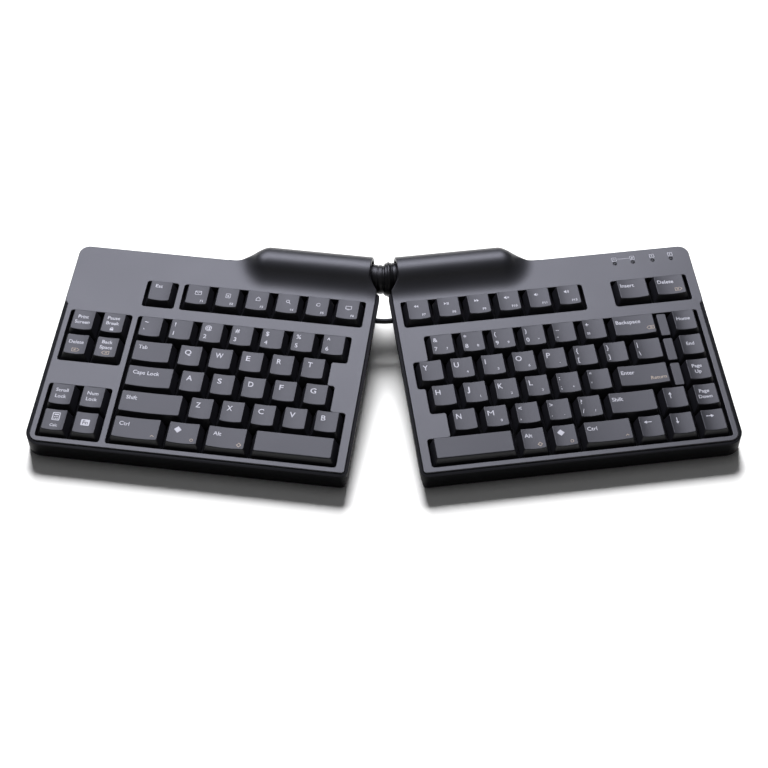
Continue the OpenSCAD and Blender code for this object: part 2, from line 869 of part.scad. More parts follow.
module screw_posts(side) {
    slab(-base_depth, circuit_bottom) {
        at_back_screws()
            circle(post_r);
        handed_plan(side)
            at_deck_screws(side)
                circle(post_r);
    }
}

// Clearance hole and head recess under a screw post at [x, y]
module screw_hole(x, y) {
    seat = screw_seat(y);
    translate([x, y, -base_depth])
        cylinder(h = base_depth, r = screw_r + seat_gap);
    translate([x, y, seat - base_depth])
        cylinder(h = base_depth, r = screw_head_r + seat_gap);
}

// Deck height of the face that a screw's head bears on
function screw_seat(y) = level_z(foot_h, y) + screw_head_h + 2 * screw_head_r * sin(deck_pitch);

module base_shell(side, shank) {
    difference() {
        union() {
            difference() {
                base_block(0, foot_h, rim_top);
                base_block(wall_t, foot_h + floor_t, rim_top + past);
                slab(cover_bottom, cover_rise + past)
                    cover_plan(seat_gap);
            }
            difference() {
                barrel();
                above(cover_bottom);
            }
            difference() {
                screw_posts(side);
                rotate([-deck_pitch, 0, 0])
                    below(foot_h - hinge_h + pin_gap);
            }
        }
        boot_notch();
        barrel_bores(shank);
        for (x = back_screw_x)
            screw_hole(x, -back_screws);
        for (unit = side == LEFT ? left_deck_screws : right_deck_screws)
            screw_hole(abs(unit_x(side, unit)), deck_screw_y);
        lead_hole();
    }
}

// Hole in the inner wall for the link lead
module lead_hole() {
    translate([-past, -lead_back, -lead_drop])
        along_x()
            cylinder(h = 4 * wall_t, r = lead_d / 2 + lead_sag + slide_gap);
}

module left_base() {
    color("#1b1c1f")
        outward(LEFT)
            difference() {
                base_shell(LEFT, socket_shank);
                lever_pocket();
            }
}

module right_base() {
    color("#1b1c1f")
        deck_frame(RIGHT)
            difference() {
                base_shell(RIGHT, tongue_shank);
                at_gland()
                    translate([0, 0, -2 * wall_t])
                        cylinder(h = 3 * wall_t, r = gland_r + pin_gap);
            }
}

module feet(side) {
    color("#2a2a2c")
        half_frame(side)
            mirror([side == LEFT ? 1 : 0, 0, 0])
                for (x = [case_in + foot_inset, case_out - foot_inset])
                    for (y = [case_front * cos(deck_pitch) + foot_inset, -foot_inset])
                        translate([x, y, -hinge_h])
                            cylinder(h = foot_h, r = foot_r);
}

module case_screw(y) {
    seat = screw_seat(y);
    translate([0, y, seat])
        cylinder(h = circuit_bottom + screw_bite - seat, r = screw_r);
    translate([0, y, seat - screw_head_h])
        cylinder(h = screw_head_h, r = screw_head_r);
}

module case_screws(side) {
    color("#8d9094") {
        outward(side)
            for (x = back_screw_x)
                translate([x, 0, 0])
                    case_screw(-back_screws);
        deck_frame(side)
            for (unit = side == LEFT ? left_deck_screws : right_deck_screws)
                translate([unit_x(side, unit), 0, 0])
                    case_screw(deck_screw_y);
    }
}

// Fittings

module indicator_lenses() {
    color("#cfd3d6")
        deck_frame(RIGHT)
            for (x = lens_x)
                translate([x, -lens_back, 0]) {
                    translate([0, 0, cover_bottom])
                        cylinder(h = cover_t, r = lens_r);
                    translate([0, 0, cover_bottom - lens_flange])
                        cylinder(h = lens_flange, r = 2 * lens_r);
                }
}

// Axis of the cord gland in the right base's back wall, pointing out
module at_gland() {
    translate([gland_x, 0, -barrel_r / 2])
        rotate([-90, 0, 0])
            children();
}

module cord_gland() {
    color("#202124")
        deck_frame(RIGHT)
            at_gland()
                difference() {
                    union() {
                        translate([0, 0, -wall_t])
                            cylinder(h = wall_t, r = gland_r);
                        cylinder(h = flange_t, r = gland_r + flange_t);
                    }
                    translate([0, 0, -wall_t - past])
                        cylinder(h = wall_t + flange_t + 2 * past, r = gland_bore);
                }
}

// Hinge

// Socket that holds the ball past its middle, with a shank in the left barrel
module hinge_socket() {
    shank_end = mouth_floor + socket_shank;
    color("#7d8085")
        outward(LEFT)
            along_x()
                rotate_extrude()
                    intersection() {
                        difference() {
                            union() {
                                circle(socket_r);
                                square([shank_r, shank_end]);
                            }
                            circle(socket_bore);
                        }
                        translate([0, -socket_lip])
                            square([2 * socket_r, shank_end + 2 * socket_lip]);
                    }
}

// Ball with a level slot for the tongue and an upright hole for the pin
module hinge_ball() {
    color("#b9bcc0")
        translate([0, hinge_y, hinge_h])
            difference() {
                sphere(ball_r);
                translate([-eye_r - run_gap, -2 * ball_r, -slot_h / 2])
                    cube([4 * ball_r, 4 * ball_r, slot_h]);
                cylinder(h = 4 * ball_r, r = pin_r + pin_gap, center = true);
            }
}

module hinge_pin() {
    pin_l = 2 * sqrt(pow(ball_r, 2) - pow(pin_r, 2)) - 2 * run_gap;
    color("#d5d7da")
        translate([0, hinge_y, hinge_h])
            cylinder(h = pin_l, r = pin_r, center = true);
}

// Flat tongue in the ball, its round stem and its shank in the right barrel
module hinge_tongue() {
    tongue_l = socket_r + stem_r;
    color("#9a9da2")
        half_frame(RIGHT)
            difference() {
                union() {
                    cylinder(h = tongue_t, r = eye_r, center = true);
                    translate([0, -stem_r, -tongue_t / 2])
                        cube([tongue_l, 2 * stem_r, tongue_t]);
                    translate([socket_r - stem_r / 2, 0, 0])
                        along_x()
                            cylinder(h = mouth_floor - socket_r + stem_r, r = stem_r);
                    translate([mouth_floor - flange_t, 0, 0])
                        along_x()
                            cylinder(h = flange_t, r = collar_neck - 2 * run_gap);
                    translate([mouth_floor - past, 0, 0])
                        along_x()
                            cylinder(h = tongue_shank + past, r = shank_r);
                }
                cylinder(h = 2 * tongue_t, r = pin_r + 2 * pin_gap, center = true);
            }
}

// Slice of a ring between two spheres about the ball, cut at two angles from the barrel's axis
module shell_slice(r_in, r_out, from, to) {
    reach = 2 * r_out;
    intersection() {
        difference() {
            circle(r_out);
            circle(r_in);
        }
        polygon([[0, 0], reach * [sin(from), cos(from)], reach * [sin((from + to) / 2), cos((from + to) / 2)],
            reach * [sin(to), cos(to)]]);
    }
}

// Ribbed rubber sleeve on the left, with two creases round it
module boot_sleeve() {
    color("#1d1e20")
        outward(LEFT)
            along_x()
                rotate_extrude()
                    difference() {
                        union() {
                            shell_slice(boot_in, sleeve_r, sleeve_from, sleeve_end);
                            translate([neck_in, neck_start])
                                square([neck_r - neck_in, mouth_floor - neck_start]);
                            translate([neck_in, mouth_floor - flange_t])
                                square([mouth_r - run_gap - neck_in, flange_t]);
                        }
                        for (angle = creases)
                            translate(sleeve_r * [sin(angle), cos(angle)])
                                circle(crease_r);
                    }
}

// Thicker rubber collar on the right, which covers the sleeve's edge
module boot_collar() {
    color("#1d1e20")
        outward(RIGHT)
            along_x()
                rotate_extrude() {
                    shell_slice(collar_in, collar_r, collar_from, collar_end);
                    translate([collar_neck, collar_neck_start])
                        square([collar_in - collar_neck, mouth_floor - collar_neck_start]);
                }
}

// Lever that tightens the socket: hub on the shank, arm through the slot, paddle behind the barrel
module lock_lever() {
    color("#26272a")
        outward(LEFT)
            rotate([lever_rest, 0, 0]) {
                translate([hub_start, 0, 0])
                    rotate([90, 0, 90])
                        linear_extrude(hub_w)
                            difference() {
                                union() {
                                    circle(hub_r);
                                    translate([shank_r + hub_wall / 2, -arm_w / 2])
                                        square([paddle_in + past - shank_r - hub_wall / 2, arm_w]);
                                }
                                circle(shank_r + 2 * pin_gap);
                            }
                translate([hub_start - paddle_over, paddle_in, -paddle_h / 2])
                    cube([paddle_l, paddle_t, paddle_h]);
            }
}

// Link lead between the inner walls: its points lie across the hinge, sagging a little at the middle
LEAD_SIDES = 8;
LEAD_RINGS = 7;
lead_reach = (case_in + lead_drop * tan(undercut) + wall_t) * cos(splay_half)
    + lead_back * cos(deck_pitch) * sin(splay_half);
lead_y = hinge_y - lead_back * cos(deck_pitch) * cos(splay_half) + lead_drop * sin(deck_pitch);
lead_z = hinge_h - lead_back * sin(deck_pitch) - lead_drop * cos(deck_pitch);
function lead_point(i) = let (t = 2 * i / (LEAD_RINGS - 1) - 1)
    [lead_reach * t, lead_y + lead_bow * pow(t, 2), lead_z - lead_sag * (1 - pow(t, 2))];
lead_bow = lead_reach / 2 * tan(splay_half);

module link_lead() {
    points = [
        for (i = [0:LEAD_RINGS - 1]) for (k = [0:LEAD_SIDES - 1])
            lead_point(i) + lead_d / 2 * [0, cos(360 * k / LEAD_SIDES), sin(360 * k / LEAD_SIDES)]
    ];
    walls = [
        for (i = [0:LEAD_RINGS - 2]) for (k = [0:LEAD_SIDES - 1]) let (n = (k + 1) % LEAD_SIDES)
            each [
                [i * LEAD_SIDES + k, i * LEAD_SIDES + n, (i + 1) * LEAD_SIDES + n],
                [i * LEAD_SIDES + k, (i + 1) * LEAD_SIDES + n, (i + 1) * LEAD_SIDES + k]
            ]
    ];
    first = [for (k = [LEAD_SIDES - 1:-1:0]) k];
    last = [for (k = [0:LEAD_SIDES - 1]) (LEAD_RINGS - 1) * LEAD_SIDES + k];
    color("#141416")
        polyhedron(points, concat(walls, [first, last]));
}

left_base();
left_cover();
key_deck(LEFT, left_cells, left_space_cell);  // left_key_deck
dome_sheet(LEFT, left_cells);  // left_dome_sheet
circuit_sheet(LEFT);  // left_circuit_sheet
feet(LEFT);  // left_feet
case_screws(LEFT);  // left_screws
right_base();
right_cover();
key_deck(RIGHT, right_cells, right_space_cell);  // right_key_deck
dome_sheet(RIGHT, right_cells);  // right_dome_sheet
circuit_sheet(RIGHT);  // right_circuit_sheet
feet(RIGHT);  // right_feet
case_screws(RIGHT);  // right_screws
indicator_lenses();
cord_gland();
hinge_socket();
hinge_ball();
hinge_pin();
hinge_tongue();
boot_sleeve();
boot_collar();
lock_lever();
link_lead();
key_bank(LEFT, left_function_cells);  // left_function_keys
key_bank(LEFT, left_number_cells);  // left_number_keys
key_bank(LEFT, left_modifier_cells);  // left_modifier_keys
key_bank(LEFT, left_side_cells);  // left_side_keys
space_bar(LEFT, left_space_cell);  // left_space_bar
key_bank(RIGHT, right_function_cells);  // right_function_keys
key_bank(RIGHT, right_symbol_cells);  // right_symbol_keys
right_modifier_keys();
key_bank(RIGHT, navigation_cells);  // navigation_keys
space_bar(RIGHT, right_space_cell);  // right_space_bar
for (run = LETTER_RUNS) for (i = [0:len(run[3]) - 1])
    key_bank(run[0], [[run[2] + i, 1, run[1]]]);

module right_modifier_keys() {
    stepped_bank(RIGHT, right_stepped_cells);
    key_bank(RIGHT, right_modifier_cells);
}
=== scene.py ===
"""Ergonomic split keyboard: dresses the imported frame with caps, print, covers, bases and fittings."""

import logging
import math
from dataclasses import dataclass
from enum import Enum
from typing import Callable, Iterable, Sequence

import bmesh
import bpy
from mathutils import Matrix, Vector
from mathutils.geometry import tessellate_polygon


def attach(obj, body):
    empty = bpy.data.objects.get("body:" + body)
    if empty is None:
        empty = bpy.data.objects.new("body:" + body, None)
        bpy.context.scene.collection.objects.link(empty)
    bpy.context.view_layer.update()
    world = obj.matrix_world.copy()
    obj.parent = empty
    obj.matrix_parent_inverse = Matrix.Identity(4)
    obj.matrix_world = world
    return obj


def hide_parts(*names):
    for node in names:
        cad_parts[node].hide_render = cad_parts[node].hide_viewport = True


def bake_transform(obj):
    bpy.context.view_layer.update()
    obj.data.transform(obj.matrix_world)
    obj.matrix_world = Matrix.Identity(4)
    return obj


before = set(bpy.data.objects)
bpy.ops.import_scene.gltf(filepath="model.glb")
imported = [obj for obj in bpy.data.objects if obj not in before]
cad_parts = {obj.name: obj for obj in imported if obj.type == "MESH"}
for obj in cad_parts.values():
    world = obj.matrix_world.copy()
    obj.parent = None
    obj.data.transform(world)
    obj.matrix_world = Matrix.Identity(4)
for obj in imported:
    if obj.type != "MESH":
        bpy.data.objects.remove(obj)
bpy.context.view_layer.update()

log = logging.getLogger("keyboard")

Colour = tuple[float, float, float]
Loop = list[tuple[float, float]]
Placed = Callable[[float, float, float], Vector]

MM = 0.001

# Metres within which points are welded, in pieces made here and in copies of CAD nodes
WELD = 1e-7
CAD_WELD = 2e-6

# The ball's centre in millimetres of the frame, and the halves' turn and slope
HINGE = Vector((0.0, 60.8284, 27.5))
SPLAY = math.radians(8.0)
PITCH = math.radians(7.0)


class Side(Enum):
    """The two halves, with the way that X runs out from the ball."""

    LEFT = -1
    RIGHT = 1

    @property
    def word(self) -> str:
        """The half's name as the bodies and nodes spell it."""
        return self.name.lower()

    @property
    def body(self) -> str:
        """The body that this half's fixed pieces ride on."""
        return f"{self.word}_half"


def half_matrix(side: Side) -> Matrix:
    """Millimetres about the ball, level with the desk, to metres of the frame.

    Args:
        side: The half whose splay applies.

    Returns:
        The matrix that places the half's level pieces.
    """
    turn = Matrix.Rotation(side.value * SPLAY, 4, "Z")
    return Matrix.Scale(MM, 4) @ Matrix.Translation(HINGE) @ turn


def deck_matrix(side: Side) -> Matrix:
    """Millimetres of a half's sloping deck to metres of the frame."""
    return half_matrix(side) @ Matrix.Rotation(PITCH, 4, "X")


def outward_matrix(side: Side) -> Matrix:
    """As deck_matrix, with X running out from the ball on either half."""
    return deck_matrix(side) @ Matrix.Diagonal((side.value, 1, 1, 1))


class Sketch:
    """Points and faces of one piece, in millimetres, until it becomes an object."""

    def __init__(self) -> None:
        """Start with nothing drawn."""
        self.points: list[Vector] = []
        self.faces: list[tuple[int, ...]] = []

    def ring(self, points: Iterable[Sequence[float]]) -> list[int]:
        """Add points.

        Args:
            points: The points in order.

        Returns:
            Their numbers.
        """
        start = len(self.points)
        self.points.extend(Vector(p) for p in points)
        return list(range(start, len(self.points)))

    def band(self, low: list[int], high: list[int]) -> None:
        """Join two rings of as many points by a band of quads."""
        count = len(low)
        for i in range(count):
            j = (i + 1) % count
            self.faces.append((low[i], low[j], high[j], high[i]))

    def tower(self, rings: Sequence[list[int]]) -> None:
        """Join each ring to the next one."""
        for low, high in zip(rings, rings[1:]):
            self.band(low, high)

    def plug(self, rings: Sequence[list[int]]) -> None:
        """Join rings into a solid that is closed at both ends."""
        self.tower(rings)
        self.cap(rings[0])
        self.cap(rings[-1])

    def bridge(self, ring: list[int]) -> None:
        """Close a ring by straight strips from its first half to its second."""
        count = len(ring)
        for i in range(count // 2 - 1):
            self.faces.append((ring[i], ring[i + 1], ring[count - 2 - i], ring[count - 1 - i]))

    def fill(self, *rings: list[int]) -> None:
        """Fill the first ring, leaving the others as holes."""
        order = [i for ring in rings for i in ring]
        flat = [[Vector((self.points[i].x, self.points[i].y, 0)) for i in ring] for ring in rings]
        for a, b, c in tessellate_polygon(flat):
            self.faces.append((order[a], order[b], order[c]))

    def cap(self, ring: list[int]) -> None:
        """Close a ring with one face."""
        self.faces.append(tuple(ring))

    def add(self, points: Iterable[Sequence[float]], faces: Iterable[Sequence[int]]) -> None:
        """Add a ready-made mesh."""
        start = len(self.points)
        self.points.extend(Vector(p) for p in points)
        self.faces.extend(tuple(start + i for i in face) for face in faces)

    def lathe(self, profile: Sequence[tuple[float, float]], steps: int, place: Placed, loop: bool) -> None:
        """Turn a profile about an axis.

        Args:
            profile: Points as (along the axis, radius).
            steps: Flats round the axis.
            place: Gives the point for (along, radius, angle).
            loop: Whether the profile closes on itself; otherwise its ends are closed with faces.
        """
        rings = [
            self.ring(place(along, radius, math.tau * k / steps) for k in range(steps))
            for along, radius in profile
        ]
        if loop:
            self.tower(rings)
            self.band(rings[-1], rings[0])
        else:
            self.plug(rings)

    def object(self, name: str, matrix: Matrix, sharp: float = 38.0) -> bpy.types.Object:
        """Make the object.

        Args:
            name: The piece's name.
            matrix: Takes the sketch's millimetres to metres of the frame.
            sharp: Angle in degrees above which an edge stays crisp.

        Returns:
            The linked object, its faces turned outwards.
        """
        mesh = bpy.data.meshes.new(name)
        mesh.from_pydata([matrix @ p for p in self.points], [], self.faces)
        return finish_mesh(mesh, name, sharp)


def finish_mesh(mesh: bpy.types.Mesh, name: str, sharp: float) -> bpy.types.Object:
    """Weld a mesh, turn its faces outwards, shade it and link it as an object.

    Args:
        mesh: The raw mesh, in metres.
        name: The piece's name.
        sharp: Angle in degrees above which an edge stays crisp.

    Returns:
        The linked object.
    """
    bm = bmesh.new()
    bm.from_mesh(mesh)
    bmesh.ops.remove_doubles(bm, verts=bm.verts, dist=WELD)
    bmesh.ops.dissolve_degenerate(bm, edges=bm.edges, dist=1e-8)
    bmesh.ops.recalc_face_normals(bm, faces=bm.faces)
    bm.to_mesh(mesh)
    bm.free()
    mesh.polygons.foreach_set("use_smooth", [True] * len(mesh.polygons))
    mesh.set_sharp_from_angle(angle=math.radians(sharp))
    mesh.update()
    made = bpy.data.objects.new(name, mesh)
    bpy.context.scene.collection.objects.link(made)
    return made


class Signal:
    """A shader value that plain arithmetic turns into Math nodes."""

    def __init__(self, paint: "Paint", socket: bpy.types.NodeSocket) -> None:
        """Wrap an output socket of a material under work."""
        self.paint = paint
        self.socket = socket

    def _math(self, operation: str, first: object, second: object) -> "Signal":
        """Add one Math node."""
        return self.paint.node("ShaderNodeMath", {"operation": operation}, {0: first, 1: second})

    def __add__(self, other: object) -> "Signal":
        """Sum."""
        return self._math("ADD", self, other)

    __radd__ = __add__

    def __sub__(self, other: object) -> "Signal":
        """Difference."""
        return self._math("SUBTRACT", self, other)

    def __rsub__(self, other: object) -> "Signal":
        """Reflected difference."""
        return self._math("SUBTRACT", other, self)

    def __mul__(self, other: object) -> "Signal":
        """Product."""
        return self._math("MULTIPLY", self, other)

    __rmul__ = __mul__

    def __truediv__(self, other: object) -> "Signal":
        """Quotient."""
        return self._math("DIVIDE", self, other)

    def __rtruediv__(self, other: object) -> "Signal":
        """Reflected quotient."""
        return self._math("DIVIDE", other, self)

    def __pow__(self, other: object) -> "Signal":
        """Power."""
        return self._math("POWER", self, other)

    def over(self, low: float, high: float) -> "Signal":
        """Rise smoothly from 0 at low to 1 at high."""
        return self.paint.node(
            "ShaderNodeMapRange",
            {"interpolation_type": "SMOOTHSTEP"},
            {"Value": self, "From Min": low, "From Max": high},
        )


class Paint:
    """One material under work."""

    def __init__(self, name: str) -> None:
        """Start from a plain surface shader."""
        self.material = bpy.data.materials.new(name)
        self.material.use_nodes = True
        self.tree = self.material.node_tree
        self.shader = self.tree.nodes["Principled BSDF"]
        self.where = self.node("ShaderNodeTexCoord", output="Object")

    def node(
        self,
        kind: str,
        settings: dict[str, object] | None = None,
        inputs: dict[int | str, object] | None = None,
        output: int | str = 0,
    ) -> Signal:
        """Add a node.

        Args:
            kind: The node's type.
            settings: Its settings, which are set first.
            inputs: Values or links of its sockets.
            output: The output that is wanted.

        Returns:
            That output.
        """
        made = self.tree.nodes.new(kind)
        for key, value in (settings or {}).items():
            setattr(made, key, value)
        for key, value in (inputs or {}).items():
            if isinstance(value, Signal):
                self.tree.links.new(value.socket, made.inputs[key])
            else:
                made.inputs[key].default_value = value
        return Signal(self, made.outputs[output])

    def noise(self, size: float, detail: float = 2.0, rough: float = 0.5) -> Signal:
        """Noise with spots of about so many millimetres."""
        sockets = {"Vector": self.where, "Scale": 1.0 / (size * MM), "Detail": detail, "Roughness": rough}
        return self.node("ShaderNodeTexNoise", {"noise_dimensions": "3D"}, sockets)

    def cells(self, size: float) -> Signal:
        """Distance to the nearest of scattered points about so many millimetres apart."""
        sockets = {"Vector": self.where, "Scale": 1.0 / (size * MM)}
        return self.node("ShaderNodeTexVoronoi", {"feature": "F1"}, sockets)

    def mix(self, share: Signal, low: Colour, high: Colour) -> Signal:
        """Colour between two colours."""
        sockets = {0: share, 6: (*low, 1.0), 7: (*high, 1.0)}
        return self.node("ShaderNodeMix", {"data_type": "RGBA"}, sockets, output=2)

    def bump(self, height: Signal, depth: float) -> Signal:
        """Normal of a relief so many millimetres deep."""
        sockets = {"Height": height, "Distance": depth * MM, "Strength": 1.0}
        return self.node("ShaderNodeBump", None, sockets)

    def feed(self, **links: Signal) -> None:
        """Link signals to the shader's sockets, spelt with _ for a space."""
        for key, value in links.items():
            self.tree.links.new(value.socket, self.shader.inputs[key.replace("_", " ")])

    def fix(self, **values: object) -> None:
        """Set the shader's sockets to values that are the same all over."""
        for key, value in values.items():
            self.shader.inputs[key.replace("_", " ")].default_value = value


def shade(colour: Colour, factor: float) -> Colour:
    """A colour made lighter or darker."""
    return tuple(min(1.0, part * factor) for part in colour)


@dataclass(frozen=True)
class MouldedPlastic:
    """Moulded plastic with a fine spark grain and cloudy gloss from handling."""

    name: str
    tone: Colour
    roughness: float
    grain: float = 0.3
    depth: float = 0.004
    specular: float = 0.5
    cloud: float = 0.05
    cloud_size: float = 26.0
    speck: float = 0.03
    speck_size: float = 1.4
    spread: float = 0.18

    def material(self) -> bpy.types.Material:
        """Make the material."""
        paint = Paint(self.name)
        grain = paint.noise(self.grain, 3.0, 0.6)
        cloud = paint.noise(self.cloud_size, 3.0)
        speck = paint.noise(self.speck_size, 2.0)
        dark, light = shade(self.tone, 1 - self.spread), shade(self.tone, 1 + self.spread)
        paint.feed(
            Base_Color=paint.mix(cloud * 0.7 + grain * 0.3, dark, light),
            Roughness=self.roughness + (cloud - 0.5) * self.cloud + (speck - 0.5) * self.speck,
            Normal=paint.bump(grain + speck * 0.4, self.depth),
        )
        paint.fix(Specular_IOR_Level=self.specular)
        return paint.material


@dataclass(frozen=True)
class MouldedRubber:
    """Matt rubber with dusty pores."""

    name: str
    tone: Colour
    roughness: float = 0.7
    pore: float = 0.5
    pore_depth: float = 0.01
    dust: float = 0.12
    dust_size: float = 9.0
    dust_tone: float = 1.6
    specular: float = 0.35

    def material(self) -> bpy.types.Material:
        """Make the material."""
        paint = Paint(self.name)
        pores = paint.cells(self.pore)
        dust = paint.noise(self.dust_size, 4.0).over(0.45, 0.75)
        paint.feed(
            Base_Color=paint.mix(dust * 0.5, self.tone, shade(self.tone, self.dust_tone)),
            Roughness=self.roughness + dust * self.dust,
            Normal=paint.bump(pores, self.pore_depth),
        )
        paint.fix(Specular_IOR_Level=self.specular)
        return paint.material


@dataclass(frozen=True)
class PrintedInk:
    """Printed ink, a little uneven and worn."""

    name: str
    tone: Colour
    roughness: float = 0.42
    grain: float = 0.5
    depth: float = 0.004
    wear_size: float = 7.0
    worn_tone: float = 0.7

    def material(self) -> bpy.types.Material:
        """Make the material."""
        paint = Paint(self.name)
        cover = paint.noise(self.grain, 3.0)
        wear = paint.noise(self.wear_size, 3.0).over(0.5, 0.8)
        paint.feed(
            Base_Color=paint.mix(wear * 0.35 + cover * 0.15, self.tone, shade(self.tone, self.worn_tone)),
            Roughness=self.roughness + cover * 0.15,
            Normal=paint.bump(cover, self.depth),
        )
        return paint.material


@dataclass(frozen=True)
class TurnedMetal:
    """Turned or pressed steel with fine tool marks."""

    name: str
    tone: Colour
    roughness: float = 0.32
    mark_size: float = 0.15
    mark_depth: float = 0.003
    stain_size: float = 4.0
    stain_tone: float = 0.8

    def material(self) -> bpy.types.Material:
        """Make the material."""
        paint = Paint(self.name)
        marks = paint.noise(self.mark_size, 2.0)
        stain = paint.noise(self.stain_size, 3.0)
        paint.feed(
            Base_Color=paint.mix(stain, shade(self.tone, self.stain_tone), self.tone),
            Roughness=self.roughness + (marks - 0.5) * 0.15 + stain * 0.08,
            Normal=paint.bump(marks, self.mark_depth),
        )
        paint.fix(Metallic=1.0)
        return paint.material


@dataclass(frozen=True)
class SmokedLens:
    """Smoked plastic of an indicator, dark while it is off."""

    name: str
    tone: Colour
    roughness: float = 0.3
    haze_size: float = 0.6
    haze_tone: float = 0.7

    def material(self) -> bpy.types.Material:
        """Make the material."""
        paint = Paint(self.name)
        haze = paint.noise(self.haze_size, 2.0)
        paint.feed(
            Base_Color=paint.mix(haze, shade(self.tone, self.haze_tone), self.tone),
            Roughness=self.roughness + haze * 0.1,
        )
        paint.fix(Specular_IOR_Level=0.2, Coat_Weight=0.15, Coat_Roughness=0.15)
        return paint.material


@dataclass(frozen=True)
class PrintedFilm:
    """Contact film with faint silver tracks."""

    name: str
    tone: Colour
    silver: Colour = (0.5, 0.52, 0.5)
    roughness: float = 0.35
    depth: float = 0.02
    scale: float = 260.0

    def material(self) -> bpy.types.Material:
        """Make the material."""
        paint = Paint(self.name)
        sockets = {"Vector": paint.where, "Scale": self.scale, "Distortion": 3.0}
        tracks = paint.node("ShaderNodeTexWave", {"bands_direction": "X"}, sockets, output=1).over(0.86, 0.93)
        paint.feed(
            Base_Color=paint.mix(tracks, self.tone, self.silver),
            Roughness=self.roughness + tracks * 0.15,
            Normal=paint.bump(tracks, self.depth),
        )
        return paint.material


@dataclass(frozen=True)
class StudioFloor:
    """Plain pale sweep that the keyboard stands on."""

    name: str = "pale_floor"
    tone: Colour = (0.92, 0.92, 0.925)
    roughness: float = 0.75
    cloud_size: float = 180.0
    cloud_tone: float = 0.99
    specular: float = 0.15

    def material(self) -> bpy.types.Material:
        """Make the material."""
        paint = Paint(self.name)
        cloud = paint.noise(self.cloud_size, 3.0)
        paint.feed(
            Base_Color=paint.mix(cloud, shade(self.tone, self.cloud_tone), self.tone),
            Roughness=self.roughness + cloud * 0.1,
        )
        paint.fix(Specular_IOR_Level=self.specular)
        return paint.material


@dataclass(frozen=True)
class Finishes:
    """Every finish of the keyboard, made once."""

    cover: bpy.types.Material
    caps: bpy.types.Material
    base: bpy.types.Material
    deck: bpy.types.Material
    boot: bpy.types.Material
    rubber: bpy.types.Material
    domes: bpy.types.Material
    lead: bpy.types.Material
    white_ink: bpy.types.Material
    gold_ink: bpy.types.Material
    dark_ink: bpy.types.Material
    steel: bpy.types.Material
    hinge: bpy.types.Material
    lens: bpy.types.Material
    film: bpy.types.Material
    floor: bpy.types.Material

    @staticmethod
    def mix() -> "Finishes":
        """Make all the materials.

        Returns:
            The set that the pieces share.
        """
        return Finishes(
            cover=MouldedPlastic("cover_plastic", (0.010, 0.010, 0.0115), 0.42, specular=0.53).material(),
            caps=MouldedPlastic(
                "cap_plastic", (0.010, 0.010, 0.012), 0.42, grain=0.25, specular=0.37
            ).material(),
            base=MouldedPlastic(
                "base_plastic", (0.004, 0.004, 0.0045), 0.5, grain=0.4, specular=0.06
            ).material(),
            deck=MouldedPlastic("deck_plastic", (0.003, 0.003, 0.0035), 0.6, specular=0.1).material(),
            boot=MouldedRubber("boot_rubber", (0.003, 0.003, 0.0035), 0.34).material(),
            rubber=MouldedRubber("foot_rubber", (0.02, 0.02, 0.022), 0.8).material(),
            domes=MouldedRubber("dome_rubber", (0.12, 0.12, 0.13), 0.6).material(),
            lead=MouldedRubber("lead_jacket", (0.003, 0.003, 0.0035), 0.5).material(),
            white_ink=PrintedInk("white_print", (0.56, 0.56, 0.56)).material(),
            gold_ink=PrintedInk("gold_print", (0.40, 0.32, 0.22)).material(),
            dark_ink=PrintedInk("dark_print", (0.03, 0.03, 0.033)).material(),
            steel=TurnedMetal("screw_steel", (0.62, 0.63, 0.64)).material(),
            hinge=TurnedMetal("hinge_metal", (0.5, 0.51, 0.53), 0.4).material(),
            lens=SmokedLens("indicator_lens", (0.012, 0.013, 0.013)).material(),
            film=PrintedFilm("contact_film", (0.05, 0.16, 0.1)).material(),
            floor=StudioFloor().material(),
        )


def place(piece: bpy.types.Object, body: str, slot: str, finish: bpy.types.Material, *nodes: str) -> None:
    """Dress a piece and hang it on its body.

    Args:
        piece: The object.
        body: The body that it rides on.
        slot: The record's material slot; not used.
        finish: Its material.
        nodes: The CAD nodes that it stands for.
    """
    piece.data.materials.clear()
    piece.data.materials.append(finish)
    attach(piece, body)
    if nodes:
        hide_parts(*nodes)
    log.info("%s rides %s: %d faces", piece.name, body, len(piece.data.polygons))


def bend(
    piece: bpy.types.Object,
    bodies: tuple[str, str],
    ends: tuple[Vector, Vector],
    slot: str,
    finish: bpy.types.Material,
    node: str,
) -> None:
    """Dress a piece, leave it fixed in the frame and hide the CAD node that it stands for.

    Args:
        piece: The object.
        bodies: The joint's two bodies.
        ends: Where the bend starts and where it ends, in metres of the frame.
        slot: The record's material slot; not used.
        finish: Its material.
        node: The CAD node that it stands for.
    """
    piece.data.materials.append(finish)
    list(bodies)
    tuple(ends[0])
    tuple(ends[1])
    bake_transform(piece)
    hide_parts(node)
    log.info("%s bends between %s and %s", piece.name, *bodies)


# Curves and flat outlines


def progress(x: float, start: float, end: float) -> float:
    """How far x has come from start to end, between 0 and 1."""
    return min(1.0, max(0.0, (x - start) / (end - start)))


def smooth(share: float) -> float:
    """A share of 0 to 1 that starts and ends gently."""
    return share * share * (3 - 2 * share)


def bell(x: float, middle: float, width: float) -> float:
    """Height at x of a soft bump that is 1 high at its middle."""
    return math.exp(-(((x - middle) / width) ** 2))


def upright(x: float, y: float, z: float = 0.0) -> Placed:
    """Placing for a piece that is turned about an upright axis.

    Args:
        x: Place of the axis.
        y: Depth of the axis.
        z: Height that the profile counts from.

    Returns:
        The point for (along, radius, angle).
    """

    def point(along: float, radius: float, turn: float) -> Vector:
        """Point on the turned surface."""
        return Vector((x + radius * math.cos(turn), y + radius * math.sin(turn), along + z))

    return point


